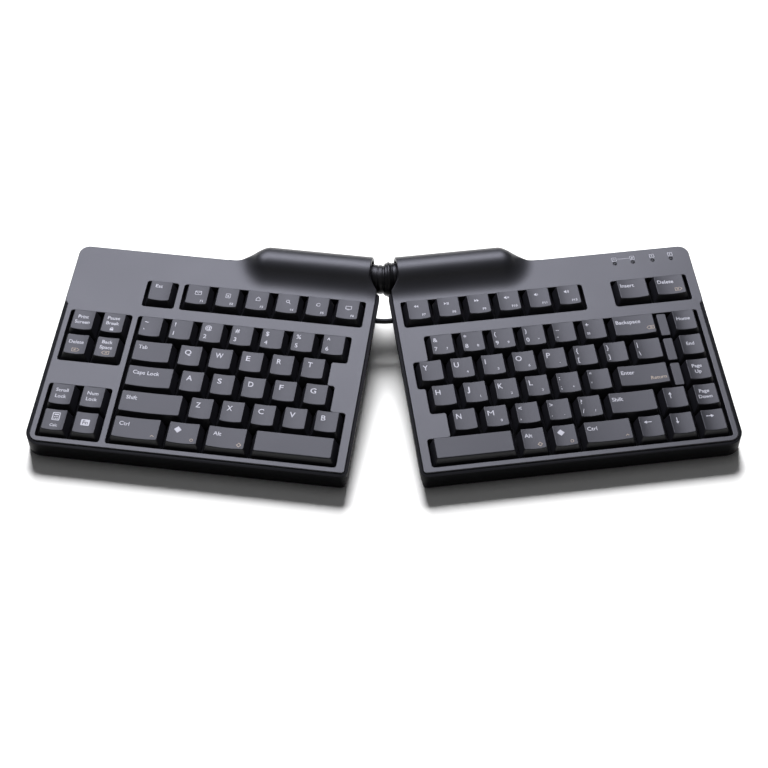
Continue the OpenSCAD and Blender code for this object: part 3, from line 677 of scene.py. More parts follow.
def arc(cx: float, cy: float, r: float, start: float, end: float, steps: int) -> Loop:
    """Points of an arc, angles in degrees."""
    turns = [math.radians(start + (end - start) * k / steps) for k in range(steps + 1)]
    return [(cx + r * math.cos(t), cy + r * math.sin(t)) for t in turns]


def circle(cx: float, cy: float, r: float, count: int = 24) -> Loop:
    """Points of a circle."""
    return arc(cx, cy, r, 0, 360 - 360 / count, count - 1)


def rounded_box(x0: float, y0: float, x1: float, y1: float, radii: Sequence[float], steps: int = 8) -> Loop:
    """Rectangle with its own radius at each corner, anticlockwise from its lower left corner."""
    a, b, c, d = radii
    return (
        arc(x0 + a, y0 + a, a, 180, 270, steps)
        + arc(x1 - b, y0 + b, b, 270, 360, steps)
        + arc(x1 - c, y1 - c, c, 0, 90, steps)
        + arc(x0 + d, y1 - d, d, 90, 180, steps)
    )


def round_corners(loop: Loop, radius: float, steps: int = 6) -> Loop:
    """Round every corner of a square-cornered outline, hollow corners too."""
    made: Loop = []
    count = len(loop)
    for i, (x, y) in enumerate(loop):
        back = Vector(loop[i - 1]) - Vector((x, y))
        on = Vector(loop[(i + 1) % count]) - Vector((x, y))
        r = min(radius, back.length * 0.48, on.length * 0.48)
        start, end = Vector((x, y)) + back.normalized() * r, Vector((x, y)) + on.normalized() * r
        centre = start + end - Vector((x, y))
        first = (start - centre).angle_signed(Vector((1, 0)))
        swing = (end - centre).angle_signed(start - centre)
        for k in range(steps + 1):
            turn = first + swing * k / steps
            made.append((centre.x + r * math.cos(turn), centre.y + r * math.sin(turn)))
    return made


def offset(loop: Loop, by: float) -> Loop:
    """An anticlockwise outline grown outwards, or shrunk where by is negative."""
    made: Loop = []
    count = len(loop)
    for i in range(count):
        before, here, after = (Vector(loop[(i + k) % count]) for k in (-1, 0, 1))
        a, b = (here - before), (after - here)
        if a.length < 1e-6 or b.length < 1e-6:
            a = b = (a + b) if (a + b).length > 1e-9 else Vector((1, 0))
        na, nb = Vector((a.y, -a.x)).normalized(), Vector((b.y, -b.x)).normalized()
        normal = (na + nb).normalized()
        moved = here + normal * (by / max(0.35, normal.dot(na)))
        made.append((moved.x, moved.y))
    return made


def stroke(points: Loop, width: float, closed: bool = False) -> list[Loop]:
    """A line of some width as outlines, the first one solid and the second, if any, a hole."""
    if closed:
        return [offset(points, width / 2), offset(points, -width / 2)]
    sides: list[Loop] = [[], []]
    for i, (x, y) in enumerate(points):
        ways = []
        if i:
            ways.append((Vector((x, y)) - Vector(points[i - 1])).normalized())
        if i < len(points) - 1:
            ways.append((Vector(points[i + 1]) - Vector((x, y))).normalized())
        normals = [Vector((w.y, -w.x)) for w in ways]
        normal = sum(normals, Vector((0, 0))).normalized()
        reach = width / 2 / max(0.4, normal.dot(normals[0]))
        sides[0].append((x + normal.x * reach, y + normal.y * reach))
        sides[1].append((x - normal.x * reach, y - normal.y * reach))
    return [sides[0] + sides[1][::-1]]


def prism(sketch: Sketch, loops: Sequence[Loop], place_at: Placed, low: float, high: float) -> None:
    """Raise an outline with holes into a thin solid.

    Args:
        sketch: Takes the solid.
        loops: The outline, then its holes.
        place_at: Gives the point for (x, y, height).
        low: Height of its underside.
        high: Height of its top.
    """
    ends: list[list[list[int]]] = []
    for height in (low, high):
        ends.append([sketch.ring(place_at(x, y, height) for x, y in loop) for loop in loops])
    for under, over in zip(*ends):
        sketch.band(under, over)
    for rings in ends:
        sketch.fill(*rings)


def plate(sketch: Sketch, outer: Loop, holes: Sequence[Loop], low: float, high: float, edge: float) -> None:
    """Flat plate whose top edges are rounded, along its outline and round its holes.

    Args:
        sketch: Takes the plate.
        outer: Its outline, anticlockwise.
        holes: Its holes, anticlockwise.
        low: Height of its underside.
        high: Height of its top.
        edge: Radius of the rounded edges.
    """
    land = 0.12
    turns = [math.radians(a) for a in (0, 22.5, 45, 67.5, 90)]
    tops: list[list[int]] = []
    feet: list[list[int]] = []
    for loop, way in [(outer, -1.0)] + [(hole, 1.0) for hole in holes]:
        rings = [sketch.ring((x, y, low) for x, y in loop)]
        for turn in turns:
            inset, lift = edge * (1 - math.cos(turn)), edge * math.sin(turn)
            rings.append(sketch.ring((x, y, high - edge + lift) for x, y in offset(loop, way * inset)))
        rings.append(sketch.ring((x, y, high) for x, y in offset(loop, way * (edge + land))))
        sketch.tower(rings)
        tops.append(rings[-1])
        feet.append(rings[0])
    sketch.fill(*tops)
    sketch.fill(*feet)


# Keys


@dataclass(frozen=True)
class Grid:
    """Where the key cells lie, in millimetres of a half's deck frame."""

    pitch: float = 19.05
    gap: float = 1.0
    start: float = 8.4
    left_last: float = 7.25
    right_first: float = 6.5
    back_strip: float = 24.0
    row_break: float = 1.5
    skirt: float = 1.7

    def x(self, side: Side, unit: float) -> float:
        """Place along the deck of a unit."""
        if side is Side.RIGHT:
            return (unit - self.right_first) * self.pitch + self.start
        return (unit - self.left_last) * self.pitch - self.start

    def y(self, row: int) -> float:
        """Depth of a row's middle, row 0 being the function keys."""
        first = -(self.back_strip + self.pitch / 2)
        return first if row == 0 else first - (self.row_break + row - 1) * self.pitch


GRID = Grid()


class CapForm(Enum):
    """How a cap's top is shaped."""

    DISHED = "dished"
    STEPPED = "stepped"
    BAR = "bar"


class Ink(Enum):
    """Colours of the print."""

    WHITE = "white"
    GOLD = "gold"
    DARK = "dark"


class Align(Enum):
    """Which part of a mark lies at its place."""

    LEFT = 0.0
    CENTRE = 0.5
    RIGHT = 1.0


@dataclass(frozen=True)
class Mark:
    """A word or sign on a cap, placed from the left and back edges of the cap's top to its middle line.

    A width of 0 leaves a word as wide as its letters are.
    """

    text: str
    x: float
    y: float
    height: float
    ink: Ink = Ink.WHITE
    align: Align = Align.LEFT
    sign: bool = False
    width: float = 0.0


@dataclass(frozen=True)
class Key:
    """One key: its cell in units, its row and its print."""

    unit: float
    width: float
    row: int
    marks: tuple[Mark, ...] = ()
    form: CapForm = CapForm.DISHED


@dataclass(frozen=True)
class Block:
    """Outside of a cap or of one level of it, in millimetres about its foot."""

    width: float
    depth: float
    height: float = 6.5
    side_run: float = 2.4
    front_run: float = 2.7
    back_run: float = 0.7
    dish: float = 0.6
    centre: float = 0.0
    foot_r: float = 1.3
    top_r: float = 0.75
    edge: float = 0.3
    wall: float = 1.2
    roof: float = 1.4
    land: float = 0.25
    least_r: float = 0.2
    inset_shrink: float = 0.4
    corner_steps: int = 4
    least_steps: int = 10

    @property
    def half_top(self) -> float:
        """Half of the top's width."""
        return self.width / 2 - self.side_run

    @property
    def back(self) -> float:
        """Depth of the top's back edge."""
        return self.depth / 2 - self.back_run

    def crown(self, x: float) -> float:
        """Height of the dished top at a place across it."""
        share = min(1.0, abs(x) / self.half_top)
        return self.height - self.dish * (1 - share * share)

    def ring(self, sketch: Sketch, at: Vector, level: Callable[[float], float], inset: float) -> list[int]:
        """Ring round the block, along its front from the left and back along its rear.

        Args:
            sketch: Takes the points.
            at: Foot of the cap.
            level: Height at a place across the cap.
            inset: Distance in from the wall.

        Returns:
            The points' numbers.
        """
        share = level(self.half_top) / self.height
        half = self.width / 2 - self.side_run * share - inset
        r = self.foot_r + (self.top_r - self.foot_r) * share - self.inset_shrink * inset
        r = max(self.least_r, r)
        steps, across = self.corner_steps, max(self.least_steps, round(self.half_top))
        stations = [(-half + r + r * math.cos(t), r + r * math.sin(t)) for t in self._turns(180, steps)]
        stations += [(-half + r + (2 * half - 2 * r) * k / across, 0.0) for k in range(1, across)]
        stations += [(half - r + r * math.cos(t), r + r * math.sin(t)) for t in self._turns(270, steps)]
        front, rear = [], []
        for x, lift in stations:
            z = level(x)
            rise = z / self.height
            front.append((x, -self.depth / 2 + self.front_run * rise + inset + lift, z))
            rear.append((x, self.depth / 2 - self.back_run * rise - inset - lift, z))
        shift = at + Vector((self.centre, 0, 0))
        return sketch.ring(Vector(p) + shift for p in front + rear[::-1])

    @staticmethod
    def _turns(start: float, steps: int) -> list[float]:
        """Angles of a quarter turn."""
        return [math.radians(start + 90 * k / steps) for k in range(steps + 1)]

    def shell(self, sketch: Sketch, at: Vector) -> None:
        """Hollow cap: outside, rounded top edge, dished top and the room under it."""
        edge = self.edge
        rings = [
            self.ring(sketch, at, lambda x, s=s: s * (self.crown(x) - edge), 0.0)
            for s in (0.0, 0.5, 0.96, 1.0)
        ]
        for angle in (25, 50, 75, 90):
            turn = math.radians(angle)
            drop, inset = edge * (1 - math.sin(turn)), edge * (1 - math.cos(turn))
            rings.append(self.ring(sketch, at, lambda x, d=drop: self.crown(x) - d, inset))
        rings.append(self.ring(sketch, at, self.crown, edge + self.land))
        sketch.tower(rings)
        sketch.bridge(rings[-1])
        ceiling = self.height - self.dish - self.roof
        hollow = [rings[0]]
        for height in (0.0, ceiling):
            hollow.append(self.ring(sketch, at, lambda x, h=height: h, self.wall))
        sketch.tower(hollow)
        sketch.bridge(hollow[-1])


class Typeface:
    """Words as thin solids, in the built-in plain letters.

    Words with a letter of PLAIN are not made bolder, because its corners would run into each other.
    """

    PLAIN = frozenset("M4")

    def __init__(self, weight: float = 0.011) -> None:
        """Measure a capital, so that words can be set by its height."""
        self.weight = weight
        self.made: dict[str, tuple[list[Vector], list[tuple[int, ...]]]] = {}
        self.scale = 1.0
        points, _ = self.word("H")
        self.scale = 1.0 / (max(p.y for p in points) - min(p.y for p in points))
        self.made.clear()

    def word(self, text: str) -> tuple[list[Vector], list[tuple[int, ...]]]:
        """Mesh of a word.

        Args:
            text: The word.

        Returns:
            Its points, with capitals 1 high on the line y = 0 and faces at z = 0 and 1, and its faces.
        """
        if text not in self.made:
            curve = bpy.data.curves.new("word", "FONT")
            curve.body = text
            curve.resolution_u = 3
            curve.offset = 0.0 if set(text) & self.PLAIN else self.weight
            curve.extrude = 0.5
            curve.fill_mode = "BOTH"
            holder = bpy.data.objects.new("word", curve)
            mesh = bpy.data.meshes.new_from_object(holder)
            low = min(v.co.x for v in mesh.vertices)
            points = [
                Vector(((v.co.x - low) * self.scale, v.co.y * self.scale, v.co.z + 0.5))
                for v in mesh.vertices
            ]
            self.made[text] = points, [tuple(f.vertices) for f in mesh.polygons]
            bpy.data.objects.remove(holder)
            bpy.data.meshes.remove(mesh)
            bpy.data.curves.remove(curve)
        return self.made[text]


def speaker(waves: int, mute: bool) -> list[list[Loop]]:
    """Loudspeaker sign with so many waves, or crossed out."""
    made = [[[(-0.5, -0.16), (-0.3, -0.16), (-0.05, -0.4), (-0.05, 0.4), (-0.3, 0.16), (-0.5, 0.16)]]]
    for k in range(waves):
        made.append(stroke(arc(-0.05, 0, 0.26 + 0.2 * k, -48, 48, 6), 0.09))
    if mute:
        made += [stroke([(0.12, -y), (0.46, y)], 0.09) for y in (0.18, -0.18)]
    return made


def arrow(turn: float) -> list[list[Loop]]:
    """Arrow sign that points at an angle in degrees."""
    c, s = math.cos(math.radians(turn)), math.sin(math.radians(turn))
    shaft, head, neck = 0.055, 0.24, 0.12
    lower = [(-0.5, -shaft), (neck, -shaft), (neck, -head)]
    outline = lower + [(0.5, 0.0)] + [(x, -y) for x, y in reversed(lower)]
    return [[[(x * c - y * s, x * s + y * c) for x, y in outline]]]


def boxes(*corners: tuple[float, float, float, float]) -> list[list[Loop]]:
    """Filled boxes as signs."""
    return [[[(x0, y0), (x1, y0), (x1, y1), (x0, y1)]] for x0, y0, x1, y1 in corners]


def frame_sign(x: float, y: float, r: float = 0.08, width: float = 0.1) -> list[list[Loop]]:
    """Outlined box with rounded corners."""
    return [stroke(rounded_box(-x, -y, x, y, (r,) * 4, 3), width, closed=True)]


def wedge(x: float, way: float) -> list[list[Loop]]:
    """Filled triangle whose left end is at x, pointing right, or left where way is negative."""
    run, half = 0.42, 0.3
    if way < 0:
        return [[[(x + run, half), (x, 0.0), (x + run, -half)]]]
    return [[[(x, -half), (x + run, 0.0), (x, half)]]]


def tag(way: float) -> list[list[Loop]]:
    """Outlined tag with a cross, the sign for rubbing out to the left or right."""
    corners = [(-0.6, -0.32), (0.3, -0.32), (0.66, 0.0), (0.3, 0.32), (-0.6, 0.32)]
    outline = [(x * way, y) for x, y in corners]
    if way < 0:
        outline.reverse()
    cross = [stroke([(-0.3 * way, -y), (0.06 * way, y)], 0.09) for y in (0.14, -0.14)]
    return [stroke(outline, 0.09, closed=True)] + cross


SIGNS: dict[str, list[list[Loop]]] = {
    "letter": frame_sign(0.6, 0.42, 0.1) + [stroke([(-0.56, 0.36), (0, -0.06), (0.56, 0.36)], 0.09)],
    "sheet": frame_sign(0.42, 0.48, 0.06) + boxes((-0.16, -0.2, 0.16, 0.14)),
    "house": [
        stroke([(-0.38, -0.45), (0.38, -0.45), (0.38, 0.02), (0.0, 0.45), (-0.38, 0.02)], 0.1, closed=True)
    ],
    "glass": [
        stroke(arc(-0.1, 0.1, 0.3, 0, 345, 16), 0.1, closed=True),
        stroke([(0.1, -0.1), (0.45, -0.45)], 0.13),
    ],
    "swap": [stroke(arc(0, 0, 0.36, 20, 200, 10), 0.1), stroke(arc(0, 0, 0.36, 230, 350, 8), 0.1)]
    + [[[(-0.5, -0.1), (-0.2, -0.1), (-0.36, -0.36)]]],
    "screen": frame_sign(0.55, 0.36, 0.05) + boxes((-0.28, -0.56, 0.28, -0.47)),
    "back": wedge(-0.48, -1.0) + wedge(-0.02, -1.0),
    "play": wedge(-0.5, 1.0) + boxes((0.06, -0.3, 0.18, 0.3), (0.3, -0.3, 0.42, 0.3)),
    "forward": wedge(-0.46, 1.0) + wedge(0.0, 1.0),
    "mute": speaker(0, True),
    "quiet": speaker(1, False),
    "loud": speaker(2, False),
    "up": arrow(90),
    "down": arrow(270),
    "left": arrow(180),
    "right": arrow(0),
    "rub_left": tag(-1.0),
    "rub_right": tag(1.0),
    "caret": [stroke([(-0.36, -0.14), (0.0, 0.2), (0.36, -0.14)], 0.11)],
    "diamond": [stroke([(-0.45, 0.0), (0.0, -0.45), (0.45, 0.0), (0.0, 0.45)], 0.13, closed=True)],
    "gem": [[[(-0.5, 0.0), (0.0, -0.5), (0.5, 0.0), (0.0, 0.5)]]],
    "ring": [stroke(arc(0, 0, 0.36, 0, 345, 16), 0.13, closed=True)],
    "padlock": boxes((-0.42, -0.45, 0.42, 0.12))
    + [stroke([(-0.26, 0.12)] + arc(0, 0.2, 0.26, 180, 0, 8) + [(0.26, 0.12)], 0.12)],
    "sums": frame_sign(0.42, 0.52, 0.06, 0.11)
    + boxes((-0.26, 0.18, 0.26, 0.36))
    + boxes(*[(x, y, x + 0.12, y + 0.12) for x in (-0.26, -0.06, 0.14) for y in (-0.36, -0.12)]),
    "badge": [[rounded_box(-0.6, -0.5, 0.6, 0.5, (0.1,) * 4, 3)]],
    "cell": frame_sign(0.5, 0.5, 0.06, 0.1),
}


class Printing:
    """Lays words and signs on the caps' dished tops, one sketch for each ink.

    Print reaches from FLOOR to TOP about the cap's top, and dark print higher, to clear the badge under it.
    """

    FLOOR = -0.03
    TOP = 0.045
    DARK_LIFT = 0.17

    def __init__(self, typeface: Typeface) -> None:
        """Start with no print."""
        self.typeface = typeface
        self.sketches: dict[Ink, Sketch] = {}

    def lay(self, mark: Mark, block: Block, at: Vector) -> None:
        """Lay a mark on a cap.

        Args:
            mark: The word or sign.
            block: The cap's outside.
            at: The cap's foot.
        """
        sketch = self.sketches.setdefault(mark.ink, Sketch())
        top = self.TOP + (self.DARK_LIFT if mark.ink is Ink.DARK else 0.0)
        left = -block.half_top + mark.x

        def drape(x: float, y: float, z: float) -> Vector:
            """Point at a height over the cap's top."""
            return at + Vector((block.centre + x, y, block.crown(x) + z))

        middle = block.back - mark.y
        if mark.sign:
            for loops in SIGNS[mark.text]:
                sized = [
                    [(left + x * mark.height, middle + y * mark.height) for x, y in loop] for loop in loops
                ]
                prism(sketch, sized, drape, self.FLOOR, top)
            return
        points, faces = self.typeface.word(mark.text)
        reach = max(p.x for p in points)
        wide = mark.width / reach if mark.width else mark.height
        start = left - reach * wide * mark.align.value
        base = middle - mark.height / 2
        sketch.add(
            [
                drape(start + p.x * wide, base + p.y * mark.height, self.FLOOR + p.z * (top - self.FLOOR))
                for p in points
            ],
            faces,
        )


@dataclass(frozen=True)
class KeyBank:
    """Keys that share one CAD node and one body."""

    node: str
    side: Side
    keys: tuple[Key, ...]
    ledge_w: float = 7.0
    ledge_drop: float = 2.0
    plunger_w: float = 6.0
    guide_w: float = 3.0
    plunger_tip: float = -2.6
    plunger_r: float = 0.4
    plunger_edge: float = 0.25
    plunger_taper: float = 0.93
    plunger_lap: float = 0.2

    def build(self, finishes: Finishes, typeface: Typeface) -> None:
        """Make the bank's caps and their print, and hang both on the bank's body.

        Args:
            finishes: The materials.
            typeface: The letters.
        """
        caps = Sketch()
        printing = Printing(typeface)
        for key in self.keys:
            at = Vector((GRID.x(self.side, key.unit + key.width / 2), GRID.y(key.row), GRID.skirt))
            block = self.cap(caps, key, at)
            for mark in key.marks:
                printing.lay(mark, block, at)
        matrix = deck_matrix(self.side)
        place(caps.object(self.node + "_caps", matrix, 50.0), self.node, "keycaps", finishes.caps, self.node)
        inks = {Ink.WHITE: finishes.white_ink, Ink.GOLD: finishes.gold_ink, Ink.DARK: finishes.dark_ink}
        for ink, sketch in printing.sketches.items():
            piece = sketch.object(f"{self.node}_{ink.value}_print", matrix)
            place(piece, self.node, "keycaps", inks[ink])

    def cap(self, sketch: Sketch, key: Key, at: Vector) -> Block:
        """Draw a cap with its plunger.

        Args:
            sketch: Takes the cap.
            key: The key.
            at: The cap's foot.

        Returns:
            The block whose top carries the print.
        """
        width, depth = key.width * GRID.pitch - GRID.gap, GRID.pitch - GRID.gap
        if key.form is CapForm.BAR:
            block = Block(width, depth, dish=0.0, edge=0.5)
        elif key.form is CapForm.STEPPED:
            block = Block(width - self.ledge_w, depth, centre=-self.ledge_w / 2)
            ledge = Block(
                self.ledge_w, depth, height=block.height - self.ledge_drop, side_run=0.55, front_run=0.6,
                back_run=0.6, dish=0.0, centre=(width - self.ledge_w) / 2, top_r=0.9, edge=0.35,
            )
            ledge.shell(sketch, at)
        else:
            block = Block(width, depth)
        block.shell(sketch, at)
        ceiling = block.height - block.dish - block.roof
        posts = [(0.0, self.plunger_w)]
        if key.form is CapForm.BAR:
            posts += [(way * GRID.pitch, self.guide_w) for way in (-1, 1)]
        for x, w in posts:
            square = rounded_box(-w / 2, -w / 2, w / 2, w / 2, (self.plunger_r,) * 4, 2)
            tip, top = self.plunger_tip, ceiling + self.plunger_lap
            levels = ((tip, self.plunger_taper), (tip + self.plunger_edge, 1.0), (top, 1.0))
            rings = [
                sketch.ring(at + Vector((x + px * s, py * s, z)) for px, py in square) for z, s in levels
            ]
            sketch.plug(rings)
        return block


# Widths of the large letters as shares of their height
LETTER_WIDTHS: dict[str, float] = {
    "A": 0.95, "B": 0.72, "C": 0.9, "D": 0.84, "E": 0.7, "F": 0.66, "G": 0.95, "H": 0.82, "I": 0.16,
    "J": 0.5, "K": 0.8, "L": 0.62, "M": 1.05, "N": 0.86, "O": 1.04, "P": 0.7, "Q": 1.06, "R": 0.74,
    "S": 0.72, "T": 0.78, "U": 0.82, "V": 0.9, "W": 1.28, "X": 0.88, "Y": 0.84, "Z": 0.78,
}


@dataclass(frozen=True)
class Layout:
    """Where a half's print lies on its caps, in millimetres from the left and back edges of their tops."""

    letter_x: float
    pair_x: float
    word_x: float
    picture: tuple[float, float]
    number: tuple[float, float]
    middle_x: float
    letter_y: float = 5.0
    letter_h: float = 3.7
    word_h: float = 2.7
    pair_y: tuple[float, float] = (3.8, 10.6)
    pair_h: tuple[float, float] = (3.1, 3.0)
    middle_h: float = 2.45
    figure: tuple[float, float] = (9.2, 10.8)
    figure_h: float = 1.75
    picture_h: float = 3.2
    number_h: float = 1.7

    def letter(self, text: str) -> Mark:
        """Large letter on a cap."""
        width = LETTER_WIDTHS[text] * self.letter_h
        return Mark(text, self.letter_x, self.letter_y, self.letter_h, width=width)

    def word(self, text: str, y: float = 4.8) -> Mark:
        """Word at the left of a wide cap."""
        return Mark(text, self.word_x, y, self.word_h)

    def pair(self, upper: str, lower: str) -> tuple[Mark, ...]:
        """Two signs, one above the other, at the left of a cap."""
        rows = zip((upper, lower), self.pair_y, self.pair_h)
        return tuple(Mark(text, self.pair_x, y, height) for text, y, height in rows)

    def middle(self, text: str, y: float) -> Mark:
        """Word in the middle of a narrow cap."""
        return Mark(text, self.middle_x, y, self.middle_h, align=Align.CENTRE)

    def small(self, text: str) -> Mark:
        """Small figure at a cap's lower right."""
        return Mark(text, *self.figure, self.figure_h, align=Align.CENTRE)

    def function_key(self, unit: float, name: str, picture: str) -> Key:
        """Function key with a picture and its number."""
        number = Mark(name, *self.number, self.number_h, align=Align.CENTRE)
        return Key(unit, 1.0, 0, (sign(picture, *self.picture, self.picture_h), number))


LAYOUTS = {
    Side.LEFT: Layout(
        letter_x=3.0, pair_x=2.2, word_x=3.1, picture=(6.9, 6.0), number=(10.0, 12.2), middle_x=6.4
    ),
    Side.RIGHT: Layout(
        letter_x=1.6, pair_x=1.3, word_x=1.4, picture=(5.6, 4.7), number=(9.5, 11.7), middle_x=5.8
    ),
}


def sign(name: str, x: float, y: float, size: float, ink: Ink = Ink.WHITE) -> Mark:
    """Sign on a cap."""
    return Mark(name, x, y, size, ink=ink, sign=True)


def letters(side: Side, row: int, first: float, text: str, figures: dict[str, str]) -> list[KeyBank]:
    """A run of letter keys, each on a body of its own.

    Args:
        side: The half.
        row: The row.
        first: Unit of the first key.
        text: The letters.
        figures: Small figures that some of them carry.

    Returns:
        The banks, one to a letter.
    """
    layout = LAYOUTS[side]
    banks = []
    for i, name in enumerate(text):
        marks = [layout.letter(name.upper())]
        if name in figures:
            marks.append(layout.small(figures[name]))
        banks.append(KeyBank(f"key_{name}", side, (Key(first + i, 1.0, row, tuple(marks)),)))
    return banks


def left_banks() -> list[KeyBank]:
    """Keys of the left half that share nodes."""
    side, gold = Side.LEFT, Ink.GOLD
    lay = LAYOUTS[side]
    pictures = ("letter", "sheet", "house", "glass", "swap", "screen")
    numbers = tuple(Key(i, 1, 1, lay.pair("~!@#$%^"[i], "`123456"[i])) for i in range(7))
    functions = tuple(lay.function_key(1.25 + i, f"F{i + 1}", name) for i, name in enumerate(pictures))
    modifiers = (
        Key(0, 1.5, 2, (Mark("Tab", 2.5, 4.4, 2.6),)),
        Key(0, 1.75, 3, (lay.word("Caps Lock", 4.6),)),
        Key(0, 2.25, 4, (lay.word("Shift", 4.6),)),
        Key(0, 1.75, 5, (lay.word("Ctrl"), sign("caret", 24.4, 12.0, 2.9, gold))),
        Key(1.75, 1.25, 5, (sign("gem", 5.4, 5.2, 4.6), sign("ring", 14.8, 11.9, 2.4, gold))),
        Key(3, 1.5, 5, (lay.word("Alt", 5.0), sign("diamond", 19.6, 11.8, 2.9, gold))),
    )
    pause_words = (lay.middle("Pause", 3.7), lay.middle("Break", 7.8))
    back_words = (lay.middle("Back", 3.5), lay.middle("Space", 7.6))
    cluster = (
        Key(-2.25, 1, 1, (lay.middle("Print", 4.9), lay.middle("Screen", 9.0))),
        Key(-1.25, 1, 1, pause_words + (sign("padlock", 6.6, 12.2, 2.6),)),
        Key(-2.25, 1, 2, (lay.middle("Delete", 5.6), sign("rub_right", 7.0, 11.7, 3.6, gold))),
        Key(-1.25, 1, 2, back_words + (sign("rub_left", 6.8, 11.7, 3.6, gold),)),
        Key(-2.25, 1, 4, (lay.middle("Scroll", 4.4), lay.middle("Lock", 8.9))),
        Key(-1.25, 1, 4, (lay.middle("Num", 4.6), lay.middle("Lock", 8.9))),
        Key(-2.25, 1, 5, (sign("sums", 7.2, 4.9, 5.0), Mark("Calc", 7.0, 11.2, 1.9, align=Align.CENTRE))),
        Key(-1.25, 1, 5, (sign("badge", 6.5, 7.2, 4.4), Mark("Fn", 6.5, 7.2, 2.7, Ink.DARK, Align.CENTRE))),
    )
    escape = Key(0, 1, 0, (Mark("Esc", 5.3, 3.6, 2.5, align=Align.CENTRE),))
    return [
        KeyBank("left_function_keys", side, (escape,) + functions),
        KeyBank("left_number_keys", side, numbers),
        KeyBank("left_modifier_keys", side, modifiers),
        KeyBank("left_side_keys", side, cluster),
        KeyBank("left_space_bar", side, (Key(4.5, 2.75, 5, (), CapForm.BAR),)),
    ]


def right_banks() -> list[KeyBank]:
    """Keys of the right half that share nodes."""
    side, gold = Side.RIGHT, Ink.GOLD
    lay = LAYOUTS[side]
    sounds = ("back", "play", "forward", "mute", "quiet", "loud")
    functions = tuple(lay.function_key(6.45 + i, f"F{i + 7}", name) for i, name in enumerate(sounds))
    functions += (
        Key(13.475, 1.25, 0, (lay.word("Insert"),)),
        Key(14.725, 1.25, 0, (lay.word("Delete"), sign("rub_right", 13.6, 11.4, 3.4, gold))),
    )
    numbers = zip("&*()_+", "7890-=", ("7", "8", "9", "*", "", ""))
    symbols = tuple(
        Key(7 + i, 1, 1, lay.pair(up, low) + ((lay.small(pad),) if pad else ()))
        for i, (up, low, pad) in enumerate(numbers)
    )
    symbols += (
        Key(11.5, 1, 2, lay.pair("{", "[")),
        Key(12.5, 1, 2, lay.pair("}", "]")),
        Key(10.75, 1, 3, lay.pair(":", ";") + (lay.small("+"),)),
        Key(11.75, 1, 3, lay.pair('"', "'")),
        Key(9.25, 1, 4, lay.pair("<", ",")),
        Key(10.25, 1, 4, lay.pair(">", ".") + (lay.small("."),)),
        Key(11.25, 1, 4, lay.pair("?", "/") + (lay.small("/"),)),
    )
    back_marks = (lay.word("Backspace"), sign("rub_left", 22.4, 10.6, 3.6, gold))
    enter_marks = (lay.word("Enter", 5.1), Mark("Return", 28.6, 10.4, 2.5, gold, Align.RIGHT))
    modifiers = (
        Key(13, 2, 1, back_marks, CapForm.STEPPED),
        Key(13.5, 1.5, 2, lay.pair("|", "\\"), CapForm.STEPPED),
        Key(12.75, 2.25, 3, enter_marks, CapForm.STEPPED),
        Key(12.25, 1.75, 4, (lay.word("Shift"),)),
        Key(9.25, 1, 5, (lay.word("Alt", 5.0), sign("diamond", 9.8, 11.8, 2.9, gold))),
        Key(10.25, 1, 5, (sign("gem", 4.4, 5.2, 4.6), sign("ring", 10.0, 11.9, 2.4, gold))),
        Key(11.25, 1.75, 5, (lay.word("Ctrl"), sign("caret", 24.4, 12.0, 2.9, gold))),
    )
    navigation = (
        Key(15, 1, 1, (lay.middle("Home", 6.1),)),
        Key(15, 1, 2, (lay.middle("End", 6.6),)),
        Key(15, 1, 3, (lay.middle("Page", 4.8), lay.middle("Up", 9.0))),
        Key(15, 1, 4, (lay.middle("Page", 4.8), lay.middle("Down", 9.0))),
        Key(14, 1, 4, (sign("up", 3.8, 5.6, 4.5),)),
        Key(13, 1, 5, (sign("left", 5.1, 4.2, 4.8),)),
        Key(14, 1, 5, (sign("down", 3.8, 5.4, 4.5),)),
        Key(15, 1, 5, (sign("right", 5.1, 4.4, 4.8),)),
    )
    return [
        KeyBank("right_function_keys", side, functions),
        KeyBank("right_symbol_keys", side, symbols),
        KeyBank("right_modifier_keys", side, modifiers),
        KeyBank("navigation_keys", side, navigation),
        KeyBank("right_space_bar", side, (Key(6.5, 2.75, 5, (), CapForm.BAR),)),
    ]


def key_banks() -> list[KeyBank]:
    """All keys of both halves, bank by bank."""
    keypad = {"u": "4", "i": "5", "o": "6", "p": "-", "j": "1", "k": "2", "l": "3", "m": "0"}
    banks = left_banks() + right_banks()
    for side, row, first, text in (
        (Side.LEFT, 2, 1.5, "qwert"),
        (Side.LEFT, 3, 1.75, "asdfg"),
        (Side.LEFT, 4, 2.25, "zxcvb"),
        (Side.RIGHT, 2, 6.5, "yuiop"),
        (Side.RIGHT, 3, 6.75, "hjkl"),
        (Side.RIGHT, 4, 7.25, "nm"),
    ):
        banks += letters(side, row, first, text, keypad)
    return banks


# Covers


@dataclass(frozen=True)
class Case:
    """Sizes that a half's pieces share, in millimetres of its deck with X running out from the ball."""

    inner: float = 0.5
    outer: float = 195.775
    front: float = -154.225
    top: float = 5.0
    lens_x: tuple[float, ...] = (183.375, 171.475, 158.675, 146.975)
    lens_y: float = -9.4
    lens_r: float = 0.9
    lens_gap: float = 0.1


CASE = Case()


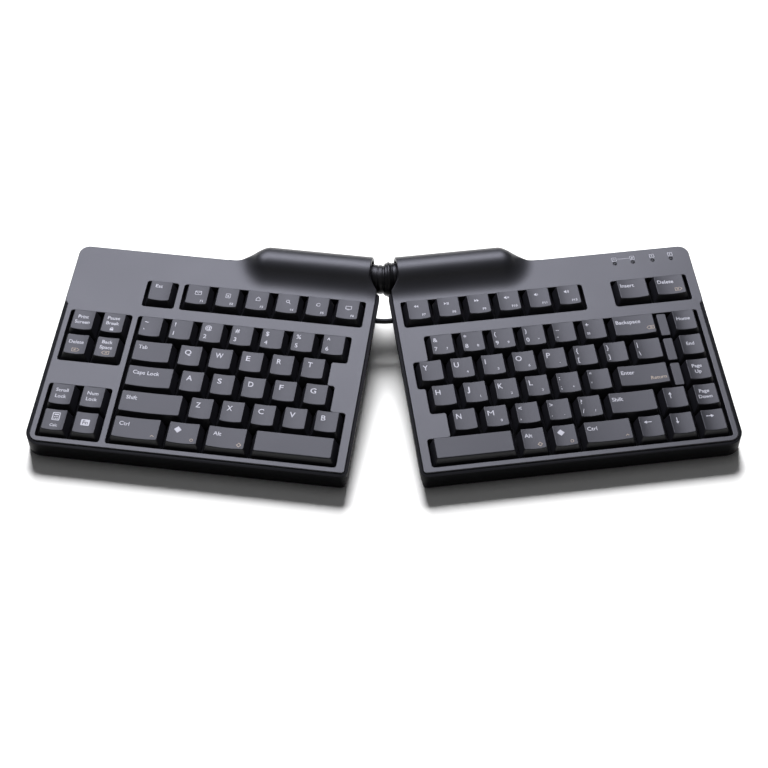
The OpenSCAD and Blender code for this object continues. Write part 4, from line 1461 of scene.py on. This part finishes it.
# Key wells of each half, each with its rows as (first unit, last unit, row) from the back
WELLS: dict[Side, list[list[tuple[float, float, int]]]] = {
    Side.LEFT: [
        [(0, 1, 0)],
        [(1.25, 7.25, 0)],
        [(-2.25, -0.25, 1), (-2.25, -0.25, 2)],
        [(-2.25, -0.25, 4), (-2.25, -0.25, 5)],
        [(0, 7, 1), (0, 6.5, 2), (0, 6.75, 3), (0, 7.25, 4), (0, 7.25, 5)],
    ],
    Side.RIGHT: [
        [(6.45, 12.45, 0)],
        [(13.475, 15.975, 0)],
        [(7, 16, 1), (6.5, 16, 2), (6.75, 16, 3), (7.25, 16, 4), (6.5, 16, 5)],
    ],
}


@dataclass(frozen=True)
class Cover:
    """Grey cover of a half: plate with key wells, and the hump of the hinge barrel along its back."""

    side: Side
    inner_rim: float = 1.9
    rim: float = 2.4
    wide_front: float = -46.0
    step_r: float = 1.6
    low: float = 2.5
    top: float = CASE.top
    edge: float = 0.45
    back_r: float = 6.5
    front_r: float = 6.0
    inner_r: float = 2.0
    well_margin: float = 0.45
    well_r: float = 1.6
    barrel_r: float = 13.5
    barrel_start: float = 8.1
    taper_start: float = 73.5
    taper_slope: float = 33.0
    shoulder_r: float = 6.7
    taper_foot_r: float = 10.0
    tail_r: float = 3.0
    tail_fade: tuple[float, float] = (89.0, 97.5)
    fillet_r: float = 23.0
    fillet_turn: float = 0.0
    mouth_r: float = 11.4
    mouth_edge: float = 0.6
    mouth_turns: tuple[float, ...] = (90.0, 65.0, 40.0, 20.0, 0.0)
    lining_edge: float = 0.2
    notch_depth: float = 7.9
    notch_angle: float = 40.0
    slot_span: tuple[float, float] = (30.7, 36.5)
    slot_top: float = 43.0
    hump_wall: float = 1.8
    lining_lag: float = 1.5
    least_room: float = 0.1
    inner_stations: tuple[float, ...] = (10.0, 14.0, 22.0)
    outer_stations: tuple[float, ...] = (48.0, 60.0, 68.0)
    swoop_step: float = 0.65
    swoop_steps: int = 40
    front_steps: int = 34
    upper_steps: int = 10
    lower_steps: int = 7

    @property
    def inner(self) -> float:
        """Distance of the plate's inner edge from the ball."""
        return CASE.inner + self.inner_rim

    @property
    def turn_x(self) -> float:
        """Distance from the ball at which the hump's front turns to the back edge."""
        return self.taper_start - self.fillet_turn

    @property
    def foot_run(self) -> float:
        """Distance from the crest to the foot of the hump."""
        r, f = self.barrel_r, self.fillet_r
        return math.sqrt((r + f) ** 2 - (self.top + f) ** 2)

    def build(self, finishes: Finishes) -> None:
        """Make the cover and hang it on its half."""
        sketch = Sketch()
        holes = [self.well(run) for run in WELLS[self.side]] + self.lens_holes()
        plate(sketch, self.outline(), holes, self.low, self.top, self.edge)
        self.hump(sketch)
        name = f"{self.side.word}_cover"
        piece = sketch.object(f"{name}_shell", outward_matrix(self.side), 30.0)
        place(piece, self.side.body, "cover", finishes.cover, name)

    def outline(self) -> Loop:
        """Plan of the cover: wide at the back, stepped in to show the dark rim at the front and side."""
        x0, x1, wide = self.inner, CASE.outer - self.rim, CASE.outer
        front = CASE.front + self.rim
        notch_x, notch_y = self.barrel_start, -self.notch_depth
        cut_y = notch_y - (notch_x - x0) / math.tan(math.radians(self.notch_angle))
        loop = arc(x0 + self.inner_r, front + self.inner_r, self.inner_r, 180, 270, 5)
        loop += arc(x1 - self.front_r, front + self.front_r, self.front_r, 270, 360, 8)
        r = self.step_r
        loop += [(x1, self.wide_front - r)] + arc(wide - r, self.wide_front + r, r, 300, 360, 4)
        loop += arc(wide - self.back_r, -self.back_r, self.back_r, 0, 90, 10)
        loop += [(notch_x, 0.0), (notch_x, notch_y), (x0, cut_y)]
        return loop

    def lens_holes(self) -> list[Loop]:
        """Round holes for the indicator lenses, on the right half only."""
        if self.side is Side.LEFT:
            return []
        return [circle(x, CASE.lens_y, CASE.lens_r + CASE.lens_gap) for x in CASE.lens_x]

    def well(self, run: Sequence[tuple[float, float, int]]) -> Loop:
        """Outline of one key well, rows as (first unit, last unit, row) from the back.

        Args:
            run: The rows.

        Returns:
            The rounded outline, anticlockwise with X running out from the ball.
        """
        margin, pitch = self.well_margin, GRID.pitch
        ends = []
        for first, last, row in run:
            a, b = sorted(self.side.value * GRID.x(self.side, unit) for unit in (first, last))
            ends.append((a - margin, b + margin, GRID.y(row)))
        rows = ends[::-1]
        right: Loop = [(rows[0][1], rows[0][2] - pitch / 2 - margin)]
        left: Loop = [(rows[0][0], rows[0][2] - pitch / 2 - margin)]
        for lower, upper in zip(rows, rows[1:]):
            line = lower[2] + pitch / 2
            for side_points, k, wider in ((right, 1, upper[1] > lower[1]), (left, 0, upper[0] < lower[0])):
                if abs(upper[k] - lower[k]) < 1e-6:
                    continue
                step = line - margin if wider else line + margin
                side_points += [(lower[k], step), (upper[k], step)]
        last_y = rows[-1][2] + pitch / 2 + margin
        right.append((rows[-1][1], last_y))
        left.append((rows[-1][0], last_y))
        return round_corners(right + left[::-1], self.well_r)

    def radius(self, x: float) -> float:
        """Radius of the base's barrel, which the hump's back edge meets, at a distance from the ball."""
        slope = math.radians(self.taper_slope)
        s, f = self.shoulder_r, self.taper_foot_r
        shoulder_x = self.taper_start + s * math.sin(slope)
        shoulder = self.barrel_r - s * (1 - math.cos(slope))
        foot = self.tail_r + f * (1 - math.cos(slope))
        foot_x = shoulder_x + (shoulder - foot) / math.tan(slope)
        tail_x = foot_x + f * math.sin(slope)
        if x <= self.taper_start:
            return self.barrel_r
        if x <= shoulder_x:
            return self.barrel_r - s + math.sqrt(s * s - (x - self.taper_start) ** 2)
        if x <= foot_x:
            return shoulder - (x - shoulder_x) * math.tan(slope)
        if x < tail_x:
            return self.tail_r + f - math.sqrt(f * f - (tail_x - x) ** 2)
        return self.tail_r

    def flank(self, run: float) -> float:
        """Height of the hump at a distance in front of its crest: round, then hollow down to the plate."""
        r, f, foot = self.barrel_r, self.fillet_r, self.foot_run
        if run <= foot * r / (r + f):
            return math.sqrt(r * r - run * run)
        if run < foot:
            return self.top + f - math.sqrt(f * f - (foot - run) ** 2)
        return self.top

    def section(self, x: float) -> list[Vector]:
        """Section across the hump, from its foot in front over the crest to its back edge.

        Args:
            x: Distance from the ball.

        Returns:
            Points as (depth, height).
        """
        beyond = max(0.0, x - self.turn_x)
        foot = math.sqrt(max(0.0, self.foot_run**2 - beyond**2))
        made = []
        for k in range(self.front_steps):
            y = -foot * (1 - k / self.front_steps)
            made.append(Vector((y, self.flank(math.hypot(beyond, y)))))
        crest = self.flank(beyond)
        fade = smooth(progress(x, *self.tail_fade))
        reach = math.sqrt(self.radius(x) ** 2 - self.low**2) * (1 - fade)
        end = math.acos(self.low / crest)
        split = end * (90.0 - self.slot_top) / math.degrees(math.acos(self.low / self.barrel_r))
        turns = [split * k / self.upper_steps for k in range(self.upper_steps)]
        turns += [split + (end - split) * k / self.lower_steps for k in range(self.lower_steps + 1)]
        made += [Vector((reach * math.sin(t) / math.sin(end), crest * math.cos(t))) for t in turns]
        return made

    def lining(self, x: float) -> list[Vector]:
        """Inside of the hump, from its back to its front, with as many points as a section.

        Args:
            x: Distance from the ball.

        Returns:
            Points as (depth, height).
        """
        beyond = max(0.0, x - self.turn_x)
        room = min(self.flank(beyond + self.lining_lag), self.radius(x)) - self.hump_wall
        r = max(self.low + self.least_room, min(self.mouth_r, room))
        reach = math.asin(self.low / r)
        split = max(reach * 1.1, math.radians(self.slot_top))
        upper = self.front_steps + self.upper_steps
        turns = [reach + (split - reach) * k / self.lower_steps for k in range(self.lower_steps)]
        turns += [split + (math.pi - reach - split) * k / upper for k in range(upper + 1)]
        return [Vector((r * math.cos(t), max(self.low, r * math.sin(t)))) for t in turns]

    def begin(self, y: float) -> float:
        """Distance from the ball at which the hump begins, at a depth along the deck."""
        cut = self.barrel_start - max(0.0, -self.notch_depth - y) * math.tan(math.radians(self.notch_angle))
        return max(self.inner, cut)

    def mouth(self, sketch: Sketch) -> list[list[int]]:
        """Rings of the rounded edge round the hump's mouth."""
        full = self.section(0.0)
        count = len(full)
        ways = [full[min(k + 1, count - 1)] - full[max(k - 1, 0)] for k in range(count)]
        normals = [Vector((-way.y, way.x)).normalized() for way in ways]
        rings = []
        for turn in self.mouth_turns:
            sink = self.mouth_edge * (1 - math.cos(math.radians(turn)))
            back = self.mouth_edge * (1 - math.sin(math.radians(turn)))
            points = []
            for point, normal in zip(full, normals):
                p = point - normal * sink
                points.append((self.begin(point.x) + back, p.x, p.y))
            points += [(self.begin(p.x) + self.lining_edge * back, p.x, p.y) for p in self.lining(0.0)]
            rings.append(sketch.ring(points))
        return rings

    def hump(self, sketch: Sketch) -> None:
        """Hump of the barrel, hollow inside, flowing into the plate and swooping away outwards."""
        rings = self.mouth(sketch)
        stations = [*self.inner_stations, *self.slot_span, *self.outer_stations]
        stations += [self.turn_x + self.swoop_step * k for k in range(self.swoop_steps + 1)]
        slot = len(rings) + stations.index(self.slot_span[0]) if self.side is Side.LEFT else -1
        for x in stations:
            points = [(x, p.x, p.y) for p in self.section(x) + self.lining(x)]
            rings.append(sketch.ring(points))
        half = len(rings[0]) // 2
        first, last = half - 1 - self.lower_steps, half + self.lower_steps
        for k, (low, high) in enumerate(zip(rings, rings[1:])):
            if k == slot:
                sketch.band(low[: first + 1] + low[last:], high[: first + 1] + high[last:])
                sketch.cap(low[first : last + 1])
                sketch.cap(high[first : last + 1])
            else:
                sketch.band(low, high)
        sketch.bridge(rings[0])
        sketch.bridge(rings[-1])


# Bases and small pieces


def softened(node: str, name: str, width: float, angle: float = 32.0) -> bpy.types.Object:
    """Copy of a CAD node with its sharp edges rounded.

    Args:
        node: The CAD node.
        name: The piece's name.
        width: Radius of the rounding in millimetres.
        angle: Least angle in degrees of an edge that is rounded.

    Returns:
        The linked copy.
    """
    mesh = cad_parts[node].data.copy()
    mesh.name = name
    bm = bmesh.new()
    bm.from_mesh(mesh)
    bmesh.ops.remove_doubles(bm, verts=bm.verts, dist=CAD_WELD)
    bmesh.ops.dissolve_limit(bm, angle_limit=math.radians(0.4), verts=bm.verts, edges=bm.edges)
    bm.to_mesh(mesh)
    bm.free()
    raw = bpy.data.objects.new(name + "_raw", mesh)
    bpy.context.scene.collection.objects.link(raw)
    bevel = raw.modifiers.new("rounding", "BEVEL")
    bevel.width = width * MM
    bevel.segments = 3
    bevel.limit_method = "ANGLE"
    bevel.angle_limit = math.radians(angle)
    bevel.use_clamp_overlap = True
    bevel.harden_normals = False
    bpy.context.view_layer.update()
    made = bpy.data.meshes.new_from_object(raw.evaluated_get(bpy.context.evaluated_depsgraph_get()))
    made.name = name
    bpy.data.objects.remove(raw)
    return finish_mesh(made, name, angle)


@dataclass(frozen=True)
class Base:
    """Black tray under a half, with its feet and screws."""

    side: Side
    rounding: float = 0.6
    foot_r: float = 6.5
    foot_h: float = 1.5
    foot_inset: float = 18.0
    screw_back: float = 18.6
    screw_in: float = 38.8
    screw_out: float = 14.0
    head_r: float = 2.6
    head_h: float = 1.2
    bite: float = 3.2
    circuit_bottom: float = -5.55

    def build(self, finishes: Finishes) -> None:
        """Make the tray, feet and screws and hang them on their half."""
        word = self.side.word
        tray = softened(f"{word}_base", f"{word}_base_tray", self.rounding)
        place(tray, self.side.body, "base", finishes.base, f"{word}_base")
        self.feet(finishes)
        self.screws(finishes)

    def feet(self, finishes: Finishes) -> None:
        """Round rubber feet with a softened rim and a dished sole."""
        sketch = Sketch()
        front = CASE.front * math.cos(PITCH) + self.foot_inset
        r, h = self.foot_r, self.foot_h
        profile = [(h, r), (0.35, r), (0.1, r - 0.12), (0.0, r - 0.4)]
        profile += [(0.0, r - 1.6), (0.25, r - 2.0), (0.3, 0.4)]
        for x in (CASE.inner + self.foot_inset, CASE.outer - self.foot_inset):
            for y in (front, -self.foot_inset):
                sketch.lathe(profile, 40, upright(x, y, -HINGE.z), loop=False)
        matrix = half_matrix(self.side) @ Matrix.Diagonal((self.side.value, 1, 1, 1))
        word = self.side.word
        piece = sketch.object(f"{word}_rubber_feet", matrix)
        place(piece, self.side.body, "feet", finishes.rubber, f"{word}_feet")

    def screws(self, finishes: Finishes) -> None:
        """Pan-head case screws with a cross recess, in their deep seats under the tray."""
        sketch = Sketch()
        back_x = (CASE.inner + self.screw_in, (CASE.inner + CASE.outer) / 2, CASE.outer - self.screw_out)
        spots = [(x, -self.screw_back) for x in back_x]
        units = (-0.125, 4.25) if self.side is Side.LEFT else (9.25, 14.0)
        deck_y = (GRID.y(4) + GRID.y(5)) / 2
        spots += [(abs(GRID.x(self.side, unit)), deck_y) for unit in units]
        for x, y in spots:
            level = (self.foot_h - HINGE.z - y * math.sin(PITCH)) / math.cos(PITCH)
            seat = level + self.head_h + 2 * self.head_r * math.sin(PITCH)
            self.screw(sketch, x, y, seat)
        word = self.side.word
        piece = sketch.object(f"{word}_case_screws", outward_matrix(self.side))
        place(piece, self.side.body, "steel", finishes.steel, f"{word}_screws")

    def screw(self, sketch: Sketch, x: float, y: float, seat: float) -> None:
        """One screw: shaft with turns of thread, and a head with a cross.

        Args:
            sketch: Takes the screw.
            x: Place of its axis.
            y: Depth of its axis.
            seat: Height of the face that its head bears on.
        """

        def stack(outline: Loop, levels: Sequence[tuple[float, float]]) -> list[list[int]]:
            """Rings of an outline, one for each (height over the seat, scale), joined in turn."""
            rings = [sketch.ring((x + px * s, y + py * s, seat + z) for px, py in outline) for z, s in levels]
            sketch.tower(rings)
            return rings

        arm, reach = 0.32, 1.25
        quarter = [(reach, arm), (arm, arm), (arm, reach)]
        cross: Loop = []
        for _ in range(4):
            cross = quarter + [(-py, px) for px, py in cross]
        rim = stack(circle(0, 0, self.head_r), ((0, 1), (-0.7, 1), (-1.0, 0.93), (-self.head_h, 0.8)))
        slot = stack(cross, ((-self.head_h, 1.0), (-0.5, 0.7)))
        sketch.fill(rim[-1], slot[0])
        sketch.cap(slot[-1])
        length = self.circuit_bottom + self.bite - seat
        turns = max(3, round(length / 1.1))
        profile = [(0.0, 1.25)]
        for k in range(turns):
            foot = 0.4 + (length - 1.0) * k / turns
            profile += [(foot, 1.05), (foot + 0.3, 1.28)]
        profile += [(length - 0.5, 1.0), (length, 0.4)]
        rings = stack(circle(0, 0, 1.0), profile)
        sketch.band(rings[0], rim[0])
        sketch.cap(rings[-1])


@dataclass(frozen=True)
class Boot:
    """Rubber boot round the ball: creased sleeve on the left and thicker collar on the right."""

    sleeve_r: float = 9.2
    sleeve_in: float = 8.4
    collar_r: float = 10.4
    ridge: float = 0.85
    ridge_at: float = 2.9
    ridge_w: float = 1.1
    mouth_r: float = 11.35
    flange: float = 2.0
    flange_edge: float = 0.3
    floor: float = 16.0
    bend: float = 7.5
    crease: float = 0.3
    sleeve_creases: tuple[float, ...] = (-3.9, -0.75)
    sleeve_crease_w: float = 0.4
    sleeve_start: float = -12.0
    sleeve_ease: float = 0.6
    sleeve_ease_span: tuple[float, float] = (-5.0, -10.0)
    swell: float = 0.1
    swell_at: float = -2.3
    swell_end: float = -6.0
    collar_crease_at: float = 5.6
    collar_crease_w: float = 0.45
    collar_span: tuple[float, float] = (0.8, 8.8)
    collar_ease: float = 0.5
    collar_ease_span: tuple[float, float] = (4.5, 8.5)
    sleeve_steps: int = 56
    collar_steps: int = 40
    steps: int = 72

    def build(self, finishes: Finishes) -> None:
        """Make both lengths, which meet at the middle."""
        left, right = (Side.LEFT.body, "hinge_ball"), ("hinge_ball", Side.RIGHT.body)
        for node, profile, bodies, span in (
            ("boot_sleeve", self.sleeve(), left, (-self.bend, 0.0)),
            ("boot_collar", self.collar(), right, (0.0, self.bend)),
        ):
            sketch = Sketch()
            sketch.lathe(profile, self.steps, self.spin, loop=True)
            piece = sketch.object(f"{node}_rubber", Matrix.Identity(4))
            start, end = (self.spin(along, 0.0, 0.0) for along in span)
            bend(piece, bodies, (start, end), "boot", finishes.boot, node)

    def spin(self, along: float, radius: float, turn: float) -> Vector:
        """Point round the boot's middle line, which follows each barrel and bends evenly between them.

        Args:
            along: Distance from the ball's centre, positive to the right.
            radius: Distance from the middle line.
            turn: Angle round it.

        Returns:
            The point in metres of the frame.
        """
        yaw = math.copysign(SPLAY * smooth(progress(abs(along), 0.0, self.bend)), along)
        frame_turn = Matrix.Rotation(yaw, 3, "Z") @ Matrix.Rotation(PITCH, 3, "X")
        return (HINGE + frame_turn @ Vector((along, radius * math.cos(turn), radius * math.sin(turn)))) * MM

    def sleeve(self) -> list[tuple[float, float]]:
        """Outline of the sleeve, from its flange in the left mouth to the middle and back inside."""
        foot = -self.floor + self.flange
        outer = [(-self.floor, self.mouth_r), (foot, self.mouth_r), (foot + self.flange_edge, self.sleeve_r)]
        for k in range(self.sleeve_steps + 1):
            x = self.sleeve_start * (1 - k / self.sleeve_steps)
            dip = sum(self.crease * bell(x, at, self.sleeve_crease_w) for at in self.sleeve_creases)
            swell = self.swell * math.cos(x - self.swell_at) if x > self.swell_end else 0.0
            ease = self.sleeve_ease * progress(x, *self.sleeve_ease_span) ** 2
            outer.append((x, self.sleeve_r + swell - dip - ease))
        inner = [(0.0, self.sleeve_in), (-6.0, self.sleeve_in), (-self.floor, self.sleeve_in - 0.5)]
        return outer + inner

    def collar(self) -> list[tuple[float, float]]:
        """Outline of the collar, from its lip at the middle over its ridge into the right mouth."""
        outer = [(0.0, 9.0), (0.02, 9.75), (0.2, 10.0), (0.5, 10.15)]
        first, last = self.collar_span
        for k in range(self.collar_steps + 1):
            x = first + (last - first) * k / self.collar_steps
            ridge = self.ridge * bell(x, self.ridge_at, self.ridge_w)
            ease = self.collar_ease * progress(x, *self.collar_ease_span) ** 1.5
            dip = self.crease * bell(x, self.collar_crease_at, self.collar_crease_w)
            outer.append((x, self.collar_r + ridge - ease - dip))
        foot = self.floor - self.flange
        outer += [(foot - self.flange_edge, self.collar_r - self.collar_ease)]
        outer += [(foot, self.mouth_r), (self.floor, self.mouth_r)]
        inner = [(self.floor, self.sleeve_in - 0.5), (6.0, self.sleeve_in), (0.0, self.sleeve_in)]
        return outer + inner


@dataclass(frozen=True)
class Fittings:
    """Lock lever, indicators, cord gland and link lead."""

    print_back: float = 3.4
    cell_h: float = 2.7
    sign_h: float = 1.5
    line_w: float = 0.22
    line_gap: float = 1.8
    gland_x: float = 120.775
    gland_z: float = -6.75
    lead_reach: float = 9.083
    lead_y: float = 31.118
    lead_z: float = 20.793
    lead_bow: float = 0.638
    lead_sag: float = 0.8
    lead_r: float = 1.65
    lead_steps: int = 12
    lead_sides: int = 20

    def build(self, finishes: Finishes, typeface: Typeface) -> None:
        """Make the fittings and hang them on their bodies."""
        paddle = softened("lock_lever", "lock_lever_paddle", 0.7)
        place(paddle, "lock_lever", "lever", finishes.base, "lock_lever")
        self.lenses(finishes)
        self.lens_print(finishes, typeface)
        self.gland(finishes)
        self.lead(finishes)

    def lenses(self, finishes: Finishes) -> None:
        """Small domed lenses, flush in the cover."""
        sketch = Sketch()
        r, top = CASE.lens_r, CASE.top
        profile = [(1.5, 2 * r), (2.45, 2 * r), (2.45, r)]
        profile += [(top - 0.15, r), (top - 0.05, r * 0.85), (top + 0.02, r * 0.5), (top + 0.04, 0.1)]
        for x in CASE.lens_x:
            sketch.lathe(profile, 24, upright(x, CASE.lens_y), loop=False)
        piece = sketch.object("indicator_lens_set", deck_matrix(Side.RIGHT))
        place(piece, Side.RIGHT.body, "lens", finishes.lens, "indicator_lenses")

    def lens_print(self, finishes: Finishes, typeface: Typeface) -> None:
        """Signs behind the lenses, the first two joined by a line."""
        printing = Printing(typeface)
        flat = Block(40.0, 20.0, height=0.0001, side_run=0.0, dish=0.0)
        y = CASE.lens_y + self.print_back
        places = CASE.lens_x[::-1]
        for x, text in zip(places, "1ASF"):
            at = Vector((x, y, CASE.top))
            for mark in (
                sign("cell", flat.half_top, flat.back, self.cell_h),
                Mark(text, flat.half_top, flat.back, self.sign_h, align=Align.CENTRE),
            ):
                printing.lay(mark, flat, at)
        sketch = printing.sketches[Ink.WHITE]
        middle = Vector(((places[0] + places[1]) / 2, y, CASE.top))
        reach = (places[1] - places[0]) / 2 - self.line_gap
        line = stroke([(-reach, 0.0), (reach, 0.0)], self.line_w)
        prism(sketch, line, lambda *point: middle + Vector(point), Printing.FLOOR, Printing.TOP)
        piece = sketch.object("indicator_print", deck_matrix(Side.RIGHT))
        place(piece, Side.RIGHT.body, "cover", finishes.white_ink)

    def gland(self, finishes: Finishes) -> None:
        """Grommet for a cord in the back wall of the right half."""
        profile = [(-3.6, 3.6), (-0.05, 3.6), (-0.05, 5.1), (1.1, 5.1), (1.4, 4.9)]
        profile += [(1.5, 4.5), (1.5, 2.6), (1.3, 2.3), (1.0, 2.2), (-3.6, 2.2)]

        def point(along: float, radius: float, turn: float) -> Vector:
            """Point on the grommet, which is turned about an axis that runs backwards."""
            across, up = radius * math.cos(turn), radius * math.sin(turn)
            return Vector((self.gland_x + across, along, self.gland_z + up))

        sketch = Sketch()
        sketch.lathe(profile, 40, point, loop=True)
        piece = sketch.object("cord_gland_ring", deck_matrix(Side.RIGHT))
        place(piece, Side.RIGHT.body, "boot", finishes.boot, "cord_gland")

    def lead_point(self, t: float) -> Vector:
        """Middle of the link lead, t running from -1 at the left wall to 1 at the right one."""
        sag = self.lead_sag * (1 - t * t)
        return Vector((self.lead_reach * t, self.lead_y + self.lead_bow * t * t, self.lead_z - sag)) * MM

    def lead(self, finishes: Finishes) -> None:
        """Link lead in two lengths that meet at the middle."""
        spans = {
            Side.LEFT: (-1.0, 0.0, (Side.LEFT.body, "hinge_ball")),
            Side.RIGHT: (0.0, 1.0, ("hinge_ball", Side.RIGHT.body)),
        }
        for side, (start, end, bodies) in spans.items():
            sketch = Sketch()
            steps = [start + (end - start) * i / self.lead_steps for i in range(self.lead_steps + 1)]
            sketch.plug([sketch.ring(self.lead_ring(t)) for t in steps])
            piece = sketch.object(f"link_lead_{side.word}", Matrix.Identity(4))
            ends = (self.lead_point(start), self.lead_point(end))
            bend(piece, bodies, ends, "lead", finishes.lead, "link_lead")

    def lead_ring(self, t: float) -> list[Vector]:
        """Points round the link lead at t, in metres of the frame."""
        way = (self.lead_point(t + 0.01) - self.lead_point(t - 0.01)).normalized()
        across = way.cross(Vector((0, 0, 1))).normalized()
        up = across.cross(way)
        r = self.lead_r * MM
        turns = [math.tau * k / self.lead_sides for k in range(self.lead_sides)]
        return [self.lead_point(t) + across * r * math.cos(a) + up * r * math.sin(a) for a in turns]


def dress_inner_parts(finishes: Finishes) -> None:
    """Give the CAD nodes that stay their own materials."""
    kept = {
        "left_key_deck": finishes.deck,
        "right_key_deck": finishes.deck,
        "left_dome_sheet": finishes.domes,
        "right_dome_sheet": finishes.domes,
        "left_circuit_sheet": finishes.film,
        "right_circuit_sheet": finishes.film,
        "hinge_socket": finishes.hinge,
        "hinge_ball": finishes.hinge,
        "hinge_pin": finishes.steel,
        "hinge_tongue": finishes.hinge,
    }
    for name, finish in kept.items():
        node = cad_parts[name]
        node.data.materials.clear()
        node.data.materials.append(finish)
        log.info("%s keeps its CAD shape", name)


# Studio


NEUTRAL: Colour = (1.0, 1.0, 1.0)
COOL: Colour = (0.93, 0.94, 1.1)


@dataclass(frozen=True)
class Lamp:
    """Rectangular soft light, with sizes in metres, angles in degrees and power in watts.

    It lights the floor alone where on_floor is set, and otherwise all but the floor.
    """

    name: str
    rise: float
    swing: float
    away: float
    width: float
    depth: float
    power: float
    tint: Colour = NEUTRAL
    on_floor: bool = False

    def build(self, scene: bpy.types.Scene, floor: bpy.types.Object) -> None:
        """Hang the lamp and point it at the keyboard.

        Args:
            scene: Takes the lamp.
            floor: The floor, which is lit by lamps of its own.
        """
        light = bpy.data.lights.new(self.name, "AREA")
        light.shape = "RECTANGLE"
        light.size, light.size_y = self.width, self.depth
        light.energy, light.color = self.power, self.tint
        holder = bpy.data.objects.new(self.name, light)
        rise, swing = math.radians(self.rise), math.radians(self.swing)
        level = math.cos(rise)
        way = Vector((math.sin(swing) * level, math.cos(swing) * level, math.sin(rise)))
        holder.location = way * self.away
        holder.rotation_euler = (-holder.location).to_track_quat("-Z", "Y").to_euler()
        scene.collection.objects.link(holder)
        lit = bpy.data.collections.new(self.name + "_lit")
        lit.objects.link(floor)
        lit.collection_objects[0].light_linking.link_state = "INCLUDE" if self.on_floor else "EXCLUDE"
        holder.light_linking.receiver_collection = lit


@dataclass(frozen=True)
class Studio:
    """Pale floor, soft lights and the camera, in metres of the frame."""

    eye: tuple[float, float, float] = (0.0, -0.82687, 0.88251)
    target: tuple[float, float, float] = (0.0, -0.02619, 0.02388)
    lens: float = 91.06
    floor_size: float = 12.0
    ambient: float = 0.07
    lamps: tuple[Lamp, ...] = (
        Lamp("softbox_high", rise=61.0, swing=-12.0, away=1.4, width=1.5, depth=0.56, power=24.5, tint=COOL),
        Lamp("softbox_low", rise=43.0, swing=-12.0, away=1.4, width=1.5, depth=0.40, power=7.6, tint=COOL),
        Lamp("front_fill", rise=42.0, swing=180.0, away=3.0, width=4.0, depth=2.0, power=4.0),
        Lamp(
            "floor_lamp", rise=35.5, swing=-4.0, away=6.0, width=2.6, depth=2.8, power=1150.0, on_floor=True
        ),
        Lamp("floor_fill", rise=80.0, swing=0.0, away=6.0, width=3.0, depth=3.0, power=14.0, on_floor=True),
    )

    def build(self, finishes: Finishes) -> None:
        """Set up the camera, lights and floor."""
        scene = bpy.context.scene
        scene.view_settings.view_transform = "Standard"
        data = bpy.data.cameras.new("camera")
        data.lens, data.sensor_width = self.lens, 36.0
        camera = bpy.data.objects.new("camera", data)
        camera.location = self.eye
        way = Vector(self.target) - Vector(self.eye)
        camera.rotation_euler = way.to_track_quat("-Z", "Y").to_euler()
        scene.collection.objects.link(camera)
        scene.camera = camera
        self.world(scene)
        floor = self.floor(finishes)
        for lamp in self.lamps:
            lamp.build(scene, floor)

    def world(self, scene: bpy.types.Scene) -> None:
        """Even, weak light from all round."""
        world = bpy.data.worlds.new("studio")
        world.use_nodes = True
        glow = world.node_tree.nodes["Background"].inputs
        glow["Color"].default_value = (1.0, 1.0, 1.0, 1.0)
        glow["Strength"].default_value = self.ambient
        scene.world = world

    def floor(self, finishes: Finishes) -> bpy.types.Object:
        """Large pale floor."""
        half = self.floor_size / 2
        sketch = Sketch()
        sketch.cap(sketch.ring([(-half, -half, 0), (half, -half, 0), (half, half, 0), (-half, half, 0)]))
        floor = sketch.object("floor", Matrix.Identity(4))
        floor.data.materials.append(finishes.floor)
        return floor


def main() -> None:
    """Build the studio and every piece."""
    logging.basicConfig(level=logging.INFO, format="%(name)s: %(message)s")
    finishes = Finishes.mix()
    typeface = Typeface()
    Studio().build(finishes)
    for side in Side:
        Base(side).build(finishes)
        Cover(side).build(finishes)
    for bank in key_banks():
        bank.build(finishes, typeface)
    Boot().build(finishes)
    Fittings().build(finishes, typeface)
    dress_inner_parts(finishes)


if __name__ == "__main__":
    main()
